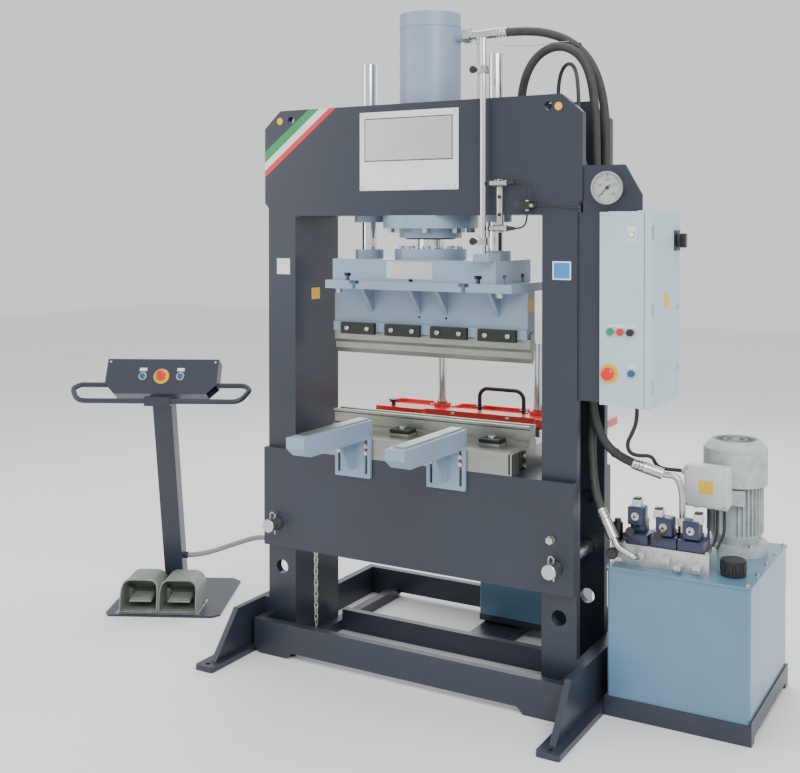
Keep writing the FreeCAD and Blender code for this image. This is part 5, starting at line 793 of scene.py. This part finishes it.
class PRESS_OT_bed_fittings(bpy.types.Operator):
    """Pin clips, chain and hook, bed bolt, die clamps and arm strips"""
    bl_idname = "press.bed_fittings"
    bl_label = "Bed fittings"

    def execute(self, context):
        bm = bmesh.new()
        for low, high in solids("bed_pins"):
            x, z = (low.x + high.x) / 2, (low.z + high.z) / 2
            y = low.y + 46
            bar(bm, [(x, y, z + 34), (x, y, z), (x, y, z - 40)], 3)
            bar(bm, [(x, y, z + 33), (x - 3, y - 8, z + 44), (x - 14, y - 10, z + 40),
                     (x - 16, y - 7, z + 18), (x - 26, y - 4, z + 2), (x - 22, y - 4, z - 24)], 2.6)
        piece("pin_clips", bm, "bright_steel")
        wire, pitch = size("chain_wire"), size("chain_pitch")
        top = box("bed")[0].z
        x, y = CHAIN_X, CHAIN_Y
        bm = bmesh.new()
        for i in range(CHAIN_LINKS):
            across = RIGHT if i % 2 else BACK
            centre = (x, y, top - 12 - i * pitch)
            bar(bm, link_path(centre, pitch / 2 - 4, 6.5, across), wire / 2, True, 4, 2)
        piece("chain", bm, "bright_steel")
        bm = bmesh.new()
        block(bm, (x - 8, y - 4, top - 3), (x + 8, y + 4, top), 1)
        bar(bm, link_path((x, y, top - 6), 2, 7, RIGHT), 2.5, True, 4, 2)
        foot = top - 12 - CHAIN_LINKS * pitch
        bar(bm, [(x, y, foot + 8), (x, y, foot - 8), (x + 6, y, foot - 22), (x, y, foot - 34),
                 (x - 12, y, foot - 30), (x - 15, y, foot - 16)], 3)
        piece("chain_hook", bm, "bright_steel")
        bm = bmesh.new()
        hex_bolt(bm, (546, box("bed")[0].y, 570), AHEAD, size("hex_head"))
        piece("bed_bolt", bm, "bright_steel")

        heels, pads, screws = bmesh.new(), bmesh.new(), bmesh.new()
        for low, high in solids("die_clamps"):
            if high.z - low.z > 50:
                block(pads, low, high, 1.5)
                middle = (low + high) / 2
                for z in (low.z + 16, high.z - 16):
                    cap_screw(screws, (high.x, middle.y, z), RIGHT, 8, 6)
                continue
            block(heels, low, (high.x, high.y, low.z + 12), 1.2)
            block(pads, (low.x, low.y, low.z + 12), (high.x, high.y, low.z + 27), 3)
            middle = (low + high) / 2
            cap_screw(screws, (middle.x, middle.y - 4, low.z + 27), UP, 14, 9)
        piece("die_clamp_heels", heels, "ground_steel")
        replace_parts(piece("die_clamp_pads", pads, "black_steel"), "die_clamps")
        piece("die_clamp_screws", screws, "bright_steel")
        bm = bmesh.new()
        for x in (-190, 190):
            block(bm, (x - 21.5, -555, 905), (x + 21.5, -160, 905.8), 0.3, 1)
        piece("arm_strips", bm, "ground_steel")
        return {"FINISHED"}


class PRESS_OT_back_gauge_fittings(bpy.types.Operator):
    """Knob, screws, handle feet and column wipers of the back gauge table"""
    bl_idname = "press.back_gauge_fittings"
    bl_label = "Back gauge fittings"

    def execute(self, context):
        rim = box("back_gauge_table")[1].z
        top = rim - 16
        bm = bmesh.new()
        lathe(bm, (-404, 420, top), UP, [(0, 0), (9, 0), (8, 8), (10, 14), (20, 20), (20, 25), (0, 27)], 28)
        piece("gauge_knob", bm, "black_plastic", "gauge_table")
        bm = bmesh.new()
        for x in (-330, -120, 120, 330):
            cap_screw(bm, (x, 408, top - 14), UP, 9, 8)
        for x in (-COLUMN_X, COLUMN_X):
            for dx in (-50, 50):
                cap_screw(bm, (x + dx, COLUMN_Y, top), UP, 7, 6)
        piece("gauge_table_screws", bm, "bright_steel", "gauge_table")
        bm = bmesh.new()
        for x in (-62, 134):
            ring(bm, (x, 535, top), UP, 9, 18, 5)
        piece("handle_feet", bm, "black_plastic", "gauge_table")
        bm = bmesh.new()
        for x in (-COLUMN_X, COLUMN_X):
            ring(bm, (x, COLUMN_Y, rim), UP, 17.6, 24, 3)
        piece("column_wipers", bm, "black_plastic", "gauge_table")
        return {"FINISHED"}


class PRESS_OT_sensors(bpy.types.Operator):
    """Two position switches with their plugs, and the junction they plug into"""
    bl_idname = "press.sensors"
    bl_label = "Position switches"

    def execute(self, context):
        parts = solids("position_sensors")
        metal, dark = bmesh.new(), bmesh.new()
        for low, high in parts:
            if high.z - low.z > 100:
                block(metal, low, high, 1)
                for z in (low.z + 60, high.z - 60):
                    cap_screw(dark, ((low.x + high.x) / 2, low.y, z), AHEAD, 6, 5)
            elif low.x > 400:
                block(dark, (low.x, low.y + 6, low.z), (low.x + 52, high.y, high.z), 3)
                drum(metal, (low.x + 52, SWITCH_Y, (low.z + high.z) / 2), RIGHT, 8.5, 12, 6)
                drum(dark, (low.x + 64, SWITCH_Y, (low.z + high.z) / 2), RIGHT, 6.5, 10, 20)
                for z, way in ((low.z, DOWN), (high.z, UP)):
                    drum(metal, (low.x + 42, SWITCH_Y, z), way, 7, 4, 20)
            else:
                y, z = (low.y + high.y) / 2, (low.z + high.z) / 2
                drum(dark, (low.x, y, z), RIGHT, 8.6, 7, 28)
                drum(metal, (low.x + 7, y, z), RIGHT, 9, 55, 28)
                for x in (low.x + 20, low.x + 42):
                    drum(metal, (x, y, z), RIGHT, 12.5, 5, 6)
                drum(metal, (low.x + 62, y, z), RIGHT, 10.5, 8, 24)
                drum(dark, (low.x + 70, y, z), RIGHT, 9, high.x - low.x - 70, 24, top=5)
        piece("switch_barrels", metal, "bright_steel")
        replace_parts(piece("switch_plugs", dark, "black_plastic"), "position_sensors")
        return {"FINISHED"}


class PRESS_OT_cabinet_fittings(bpy.types.Operator):
    """Rings, blank legends, lamp, locks and hinges of the cabinet, and the switchgear inside it"""
    bl_idname = "press.cabinet_fittings"
    bl_label = "Cabinet fittings"

    def execute(self, context):
        y = CABINET_FRONT
        rings = bmesh.new()
        for node in ("green_button", "red_button", "mode_selector", "reset_button"):
            low, high = box(node)
            ring(rings, ((low.x + high.x) / 2, y, (low.z + high.z) / 2), AHEAD, 11.7, size("bezel"), 3.5)
        piece("button_rings", rings, "gauge_steel")
        legends = bmesh.new()
        for x, z in ((744, 1282), (777, 1281), (811, 1280), (815, 1153)):
            panel(legends, x - 14, x + 14, z - 5, z + 5, y, 1.2)
        panel(legends, 798, 827, 1552, 1598, y, 1.2)
        piece("button_legends", legends, "white_label")
        low, high = box("emergency_button")
        bm = bmesh.new()
        ring(bm, ((low.x + high.x) / 2, y, (low.z + high.z) / 2), AHEAD, 14, 31, 1.5)
        piece("stop_ring", bm, "yellow_label")
        bm = bmesh.new()
        ring(bm, (LAMP_X, y - 1.2, LAMP_Z), AHEAD, 7.5, 11, 4)
        piece("lamp_ring", bm, "gauge_steel")
        bm = bmesh.new()
        lens = [(0, 0), (7.5, 0), (7.5, 5), (5.5, 8), (3, 9), (0, 9.4)]
        lathe(bm, (LAMP_X, y - 1.2, LAMP_Z), AHEAD, lens, 24)
        piece("lamp_lens", bm, "lamp")

        x = DOOR_FACE
        bm = bmesh.new()
        block(bm, (x, 74, 1518), (x + 3, 142, 1586), 1)
        piece("switch_plate", bm, "black_plastic", "door")
        bm = bmesh.new()
        for z in (1332, 1130):
            drum(bm, (x, 118, z), RIGHT, 10, 3, 28, chamfer=0.8)
            block(bm, (x + 3, 112, z - 1.5), (x + 3.6, 124, z + 1.5))
        piece("door_locks", bm, "bright_steel", "door")
        bm = bmesh.new()
        block(bm, (x, -30, 1334), (x + 0.7, 26, 1384), 0.2, 1)
        piece("door_blank", bm, "yellow_label", "door")
        bm = bmesh.new()
        for z in (1090, 1335, 1580):
            drum(bm, (x + 0.5, -157, z - 22), UP, 4.5, 44, 20)
        piece("door_hinges", bm, "bright_steel")
        self.switchgear()
        return {"FINISHED"}

    def switchgear(self):
        """Back plate, rails, ducts, breakers, contactors and terminals."""
        x = box("tank_lid")[0].x + 2
        bm = bmesh.new()
        block(bm, (x, -118, 1062), (x + 2.5, 122, 1612), 0.5, 1)
        for z in (1530, 1410, 1290, 1150):
            block(bm, (x + 2.5, -110, z - 17), (x + 9, 114, z + 17), 1)
        piece("switchgear_plate", bm, "manifold_metal")
        grey, dark, pale = bmesh.new(), bmesh.new(), bmesh.new()
        for z in (1590, 1470, 1350, 1220):
            block(grey, (x + 2.5, -110, z - 15), (x + 42, 114, z + 15), 1)
        piece("wire_ducts", grey, "box_plastic")
        for i in range(4):
            block(pale, (x + 9, -104 + i * 19, 1492), (x + 66, -86.5 + i * 19, 1566), 1.5)
            block(dark, (x + 66, -99 + i * 19, 1522), (x + 74, -91 + i * 19, 1536), 1)
        for i in range(3):
            block(dark, (x + 9, -104 + i * 50, 1376), (x + 78, -58 + i * 50, 1446), 3)
            block(pale, (x + 78, -94 + i * 50, 1396), (x + 82, -68 + i * 50, 1426), 1)
        block(dark, (x + 9, 48, 1368), (x + 96, 112, 1448), 3)
        block(pale, (x + 9, -104, 1248), (x + 88, -14, 1328), 3)
        block(dark, (x + 9, 4, 1250), (x + 62, 108, 1326), 3)
        for i in range(24):
            block(pale, (x + 9, -106 + i * 9, 1126), (x + 48, -98 + i * 9, 1174), 0.6, 1)
        piece("switchgear_dark", dark, "black_plastic")
        piece("switchgear_pale", pale, "box_plastic")


class PRESS_OT_gauge_face(bpy.types.Operator):
    """Dial, scale and window of the pressure gauge"""
    bl_idname = "press.gauge_face"
    bl_label = "Gauge face"

    def execute(self, context):
        low, high = box("gauge_case")
        x, z, y = (low.x + high.x) / 2, (low.z + high.z) / 2, low.y + 8
        bm = bmesh.new()
        ring(bm, (x, y, z), AHEAD, 3.3, 47.6, 0.3)
        piece("gauge_dial", bm, "white_label")
        bm = bmesh.new()
        for i in range(41):
            angle = math.radians(225 - 270 * i / 40)
            long = i % 10 == 0
            inner = 35 if long else 39 if i % 5 == 0 else 41
            spin = Matrix.Translation((x, y - 0.3, z)) @ Matrix.Rotation(-angle, 4, "Y")
            block(bm, (inner, -0.25, -0.8 if long else -0.4), (45, 0, 0.8 if long else 0.4), place=spin)
        piece("gauge_scale", bm, "black_plastic")
        bm = bmesh.new()
        for i in range(5):
            angle = math.radians(225 - 67.5 * i)
            text = bpy.data.curves.new("number", "FONT")
            text.body = str(100 * i)
            text.size = 9
            text.align_x, text.align_y = "CENTER", "CENTER"
            text.extrude = 0.12
            holder = bpy.data.objects.new("number", text)
            mesh = bpy.data.meshes.new_from_object(holder)
            mesh.transform(Matrix.Translation((x + 27 * math.cos(angle), y - 0.45, z + 27 * math.sin(angle)))
                           @ Matrix.Rotation(math.radians(90), 4, "X"))
            bm.from_mesh(mesh)
            bpy.data.objects.remove(holder)
            bpy.data.curves.remove(text)
            bpy.data.meshes.remove(mesh)
        piece("gauge_numbers", bm, "black_plastic")
        bm = bmesh.new()
        drum(bm, (x, low.y + 3, z), AHEAD, 47.8, 1.2, 48)
        piece("gauge_window", bm, "window")
        return {"FINISHED"}


class PRESS_OT_valves(bpy.types.Operator):
    """Solenoid valves on their base, and the fittings of the manifold"""
    bl_idname = "press.valves"
    bl_label = "Valves"

    def execute(self, context):
        low, high = box("manifold_block")
        top = high.z
        valve_low, valve_high = box("valve_bank")
        x0 = valve_low.x - 16
        y0, y1 = VALVE_FRONT, valve_high.y
        base = top + VALVE_BASE_HEIGHT
        navy, bright, dark, grey = (bmesh.new() for _ in range(4))
        for i, x in enumerate((x0 + 44, x0 + 138, x0 + 226)):
            block(navy, (x - 42, y0, top + 1), (x + 42, y1, base), 2)
            lift, shift, knob = ((58, 0, 24), (34, -22, 30), (34, 20, 0))[i]
            z = base + lift
            block(navy, (x - 24, y0 + 24, base), (x + 24, y1 - 6, z - 20), 2)
            block(navy, (x - 27, y0 + 2, z - 30), (x + 27, y0 + 54, z + 30), 5, 3)
            drum(bright, (x, y0 + 2, z), AHEAD, 13, 4, 24)
            drum(bright, (x, y0 - 2, z), AHEAD, 9.5, 6, 6, chamfer=1)
            drum(dark, (x, y0 - 8, z), AHEAD, 4, 3, 16)
            block(grey, (x + shift - 15, y0 + 10, z + 22), (x + shift + 15, y0 + 42, z + 52), 3)
            block(dark, (x + shift - 12, y0 + 13, z + 52), (x + shift + 12, y0 + 39, z + 58), 2)
            cap_screw(bright, (x + shift, y0 + 26, z + 58), UP, 3.5, 2)
            for dx in (-17, 17):
                cap_screw(bright, (x + dx, y1 - 14, z - 20), UP, 6, 6)
            if knob:
                kz = base + 14
                drum(bright, (x - 8, y0 + 3, kz), AHEAD, 9, knob, 24)
                drum(dark, (x - 8, y0 + 3 - knob, kz), AHEAD, 15, 12, 12, chamfer=2)
        drum(bright, (925, 20, base), UP, 18, 12, 6, chamfer=1.5)
        drum(bright, (925, 20, base + 12), UP, 15, 22, 28, chamfer=1)
        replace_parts(piece("valve_bodies", navy, "valve_body"), "valve_bank")
        piece("valve_connectors", grey, "box_plastic")

        front = MANIFOLD_FRONT
        ports = ((804, 528, 19, 16), (893, 524, 15, 18), (934, 508, 12, 30), (993, 512, 15, 20))
        for x, z, radius, proud in ports:
            drum(bright, (x, front, z), AHEAD, 1.14 * radius, 0.55 * proud, 6, chamfer=1.2)
            drum(bright, (x, front - 0.55 * proud, z), AHEAD, 0.8 * radius, 0.5 * proud, 24, chamfer=1)
        for x in (852, 966):
            for z in (505, 541):
                cap_screw(bright, (x, front, z), AHEAD, 5, 1.5)
        for x in (low.x + 46, high.x - 10):
            for y in (-36, 35):
                cap_screw(bright, (x, y, top), UP, 7, 7)
        drum(bright, (NEEDLE_VALVE_X, front, NEEDLE_VALVE_Z), AHEAD, 12, 8, 6)
        piece("valve_fittings", bright, "bright_steel")
        grip = [(0, 0), (17, 0), (18.5, 2), (18.5, 20), (16, 23), (0, 23)]
        lathe(dark, (NEEDLE_VALVE_X, front - 27.5, NEEDLE_VALVE_Z), AHEAD, grip, 20)
        piece("valve_knobs", dark, "black_plastic")
        bm = bmesh.new()
        drum(bm, (716, -8, 556), UP, 17, 58, 28, chamfer=2)
        drum(bm, (716, -8, 614), UP, 11, 12, 6)
        piece("pilot_cartridge", bm, "black_steel")
        return {"FINISHED"}


class PRESS_OT_power_unit_fittings(bpy.types.Operator):
    """Screws of the tank lid and motor, the cowl grille's slots in near-black painted shade, cap ribs and
    terminal box lid
    """
    bl_idname = "press.power_unit_fittings"
    bl_label = "Power unit fittings"

    def execute(self, context):
        low, high = box("tank_lid")
        top = min(high.z, box("manifold_block")[0].z)
        bm = bmesh.new()
        for i in range(5):
            x = low.x + 14 + i * (high.x - low.x - 28) / 4
            hex_bolt(bm, (x, high.y - 12, top), UP, 10)
            if i in (0, 4):
                hex_bolt(bm, (x, low.y + 12, top), UP, 10)
        for i in range(1, 4):
            y = low.y + 12 + i * (high.y - low.y - 24) / 4
            hex_bolt(bm, (high.x - 14, y, top), UP, 10)
            if i > 1:
                hex_bolt(bm, (low.x + 14, y, top), UP, 10)
        piece("lid_screws", bm, "bright_steel")

        low, high = box("fan_cowl")
        x, y = (low.x + high.x) / 2, (low.y + high.y) / 2
        bm = bmesh.new()
        for turn in range(4):
            angle = math.radians(90 * turn + 45)
            hex_bolt(bm, (x + 97 * math.cos(angle), y + 97 * math.sin(angle), 525), UP, 13)
        for turn in range(3):
            angle = math.radians(120 * turn - 60)
            drum(bm, (x + 105 * math.cos(angle), y + 105 * math.sin(angle), low.z + 14),
                 (math.cos(angle), math.sin(angle), 0), 5, 4, 16)
        piece("motor_bolts", bm, "bright_steel")
        # grille slots: thin near-black slats, painted shade standing in for the dark inside the cowl
        bm = bmesh.new()
        for turn in range(40):
            spin = Matrix.Translation((x, y, high.z)) @ Matrix.Rotation(math.radians(9 * turn), 4, "Z")
            block(bm, (40, -2.1, -0.6), (76, 2.1, 0.25), place=spin)
        for turn in range(24):
            spin = Matrix.Translation((x, y, high.z)) @ Matrix.Rotation(math.radians(15 * turn), 4, "Z")
            block(bm, (16, -1.7, -0.6), (34, 1.7, 0.25), place=spin)
        piece("cowl_grille_shade_slots", bm, "dark_gap")

        front = box("terminal_box")[0].y
        bm = bmesh.new()
        z0, z1 = TERMINAL_LID_Z
        block(bm, (905, front - 3, z0), (1047, front + 10, z1), 4, 3)
        piece("terminal_lid", bm, "box_plastic")
        bm = bmesh.new()
        for x1 in (913, 1039):
            for z in (z0 + 8, z1 - 8):
                cap_screw(bm, (x1, front - 3, z), AHEAD, 4.5, 2)
        piece("terminal_lid_screws", bm, "bright_steel")
        bm = bmesh.new()
        panel(bm, 952, 1000, 712, 756, front - 3, 0.6)
        piece("terminal_blank", bm, "yellow_label")

        low, high = box("filler_cap")
        x, y, radius = (low.x + high.x) / 2, (low.y + high.y) / 2, (high.x - low.x) / 2
        bm = bmesh.new()
        for turn in range(30):
            spin = Matrix.Translation((x, y, 0)) @ Matrix.Rotation(math.radians(12 * turn), 4, "Z")
            block(bm, (radius - 3, -2, low.z + 16), (radius + 1.2, 2, high.z - 5), 0.8, 1, spin)
        piece("filler_cap_ribs", bm, "black_plastic", "breather")
        return {"FINISHED"}


FERRULE = [(12, 0), (19, 0), (19.5, 2), (19.5, 14), (17.5, 16), (19, 18), (19, 26), (17.5, 28), (19, 30),
           (19, 38), (17.5, 40), (18.5, 42), (18, 50), (12, 50), (12, 0)]
TIE = [(14, 0), (16.6, 0), (16.6, 10), (14, 10), (14, 0)]


class PRESS_OT_hose_fittings(bpy.types.Operator):
    """Crimped ferrules, ties and restraint wire of the hoses"""
    bl_idname = "press.hose_fittings"
    bl_label = "Hose fittings"

    def execute(self, context):
        bm = bmesh.new()
        for points in (PRESSURE_HOSE, RETURN_HOSE):
            for end, beyond in ((points[0], points[1]), (points[-1], points[-2])):
                start = Vector(end) / MM
                way = (Vector(beyond) - Vector(end)).normalized()
                lathe(bm, start, way, FERRULE, 28)
                drum(bm, start - way * 8, way, 19, 10, 6)
        piece("hose_ferrules", bm, "bright_steel")
        bm = bmesh.new()
        for points, i, share in ((PRESSURE_HOSE, 6, 0.5), (PRESSURE_HOSE, 9, 0.3), (PRESSURE_HOSE, 12, 0.2),
                                 (RETURN_HOSE, 10, 0.4), (RETURN_HOSE, 16, 0.5), (PRESSURE_HOSE, 3, 0.2)):
            first, second = Vector(points[i]) / MM, Vector(points[i + 1]) / MM
            way = (second - first).normalized()
            lathe(bm, first.lerp(second, share) - way * 5, way, TIE, 28)
        piece("hose_ties", bm, "black_plastic")
        bm = bmesh.new()
        bar(bm, [(228, -26, 2262), (262, -30, 2240), (330, -30, 2226), (417, -24, 2218), (490, -18, 2228),
                 (540, -10, 2226)], 1.4)
        piece("restraint_wire", bm, "bright_steel")
        return {"FINISHED"}


CONSOLE_TURN, PANEL_TILT = math.radians(27), math.radians(-28)
CONSOLE = Matrix.Translation((-1178, -140.5, 0)) @ Matrix.Rotation(CONSOLE_TURN, 4, "Z")
PANEL_FACE = CONSOLE @ Matrix.Translation((0, 17.412, 985)) @ Matrix.Rotation(PANEL_TILT, 4, "X")
CONSOLE_BUTTON_X = 78
HOOD_LIP = [(77, 28, 10), (77, 30, 60), (76, 46, 100), (66, 58, 130), (36, 60, 133)]


def moved(bm, matrix):
    bmesh.ops.transform(bm, matrix=matrix, verts=bm.verts)
    return bm


class PRESS_OT_console_fittings(bpy.types.Operator):
    """Rings and blank legends of the console, and the trim of the pedals"""
    bl_idname = "press.console_fittings"
    bl_label = "Console fittings"

    def execute(self, context):
        bm = bmesh.new()
        for x in (-CONSOLE_BUTTON_X, CONSOLE_BUTTON_X):
            ring(bm, (x, 0, 0), AHEAD, 11.7, 17, 4)
        piece("console_rings", moved(bm, PANEL_FACE), "gauge_steel")
        bm = bmesh.new()
        ring(bm, (0, 0, 0), AHEAD, 14, 32, 1.5)
        piece("console_stop_ring", moved(bm, PANEL_FACE), "yellow_label")
        bm = bmesh.new()
        for x in (-CONSOLE_BUTTON_X, CONSOLE_BUTTON_X):
            panel(bm, x - 15, x + 15, 22, 36, 0, 1.2)
        piece("console_legends", moved(bm, PANEL_FACE), "white_label")
        bm = bmesh.new()
        for x in (-218, 218):
            cap_screw(bm, (x, 0, 62), AHEAD, 5, 3)
        piece("console_screws", moved(bm, PANEL_FACE), "bright_steel")

        bm = bmesh.new()
        for x in (-103, 59):
            left = [(x - dx, y, z) for dx, y, z in HOOD_LIP]
            right = [(x + dx, y, z) for dx, y, z in reversed(HOOD_LIP)]
            bar(bm, left + right, 3)
        piece("hood_lips", moved(bm, CONSOLE), "pedal_paint")
        bm = bmesh.new()
        block(bm, (-184, 12, 8), (140, 22, 9.2), 0.4, 1)
        for x in (-190, 146):
            block(bm, (x - 4, 12, 8), (x + 4, 204, 9.2), 0.4, 1)
        piece("floor_plate_strips", moved(bm, CONSOLE), "bright_steel")
        return {"FINISHED"}


OPERATORS += [PRESS_OT_plates, PRESS_OT_ram_fittings, PRESS_OT_cylinder_fittings,
              PRESS_OT_bed_fittings, PRESS_OT_back_gauge_fittings, PRESS_OT_sensors,
              PRESS_OT_cabinet_fittings, PRESS_OT_gauge_face, PRESS_OT_valves,
              PRESS_OT_power_unit_fittings, PRESS_OT_hose_fittings, PRESS_OT_console_fittings]


class PRESS_PT_panel(bpy.types.Panel):
    """Lists the press's parts and settings"""
    bl_idname = "PRESS_PT_panel"
    bl_label = "Hydraulic press"
    bl_space_type = "VIEW_3D"
    bl_region_type = "UI"
    bl_category = "Press"

    def draw(self, context):
        for group in (context.scene.press_colours, context.scene.press_sizes):
            box_layout = self.layout.box()
            for name in group.__annotations__:
                box_layout.prop(group, name)
        for operator in OPERATORS:
            self.layout.operator(operator.bl_idname)


OPERATORS.append(PRESS_OT_stage)
CLASSES = [PressColours, PressSizes] + OPERATORS + [PRESS_PT_panel]


def register():
    for cls in CLASSES:
        bpy.utils.register_class(cls)
    bpy.types.Scene.press_colours = bpy.props.PointerProperty(type=PressColours)
    bpy.types.Scene.press_sizes = bpy.props.PointerProperty(type=PressSizes)


def unregister():
    del bpy.types.Scene.press_sizes
    del bpy.types.Scene.press_colours
    for cls in reversed(CLASSES):
        bpy.utils.unregister_class(cls)


def main():
    register()
    make_finishes()
    for operator in OPERATORS:
        group, name = operator.bl_idname.split(".")
        getattr(getattr(bpy.ops, group), name)()


if __name__ == "__main__":
    main()
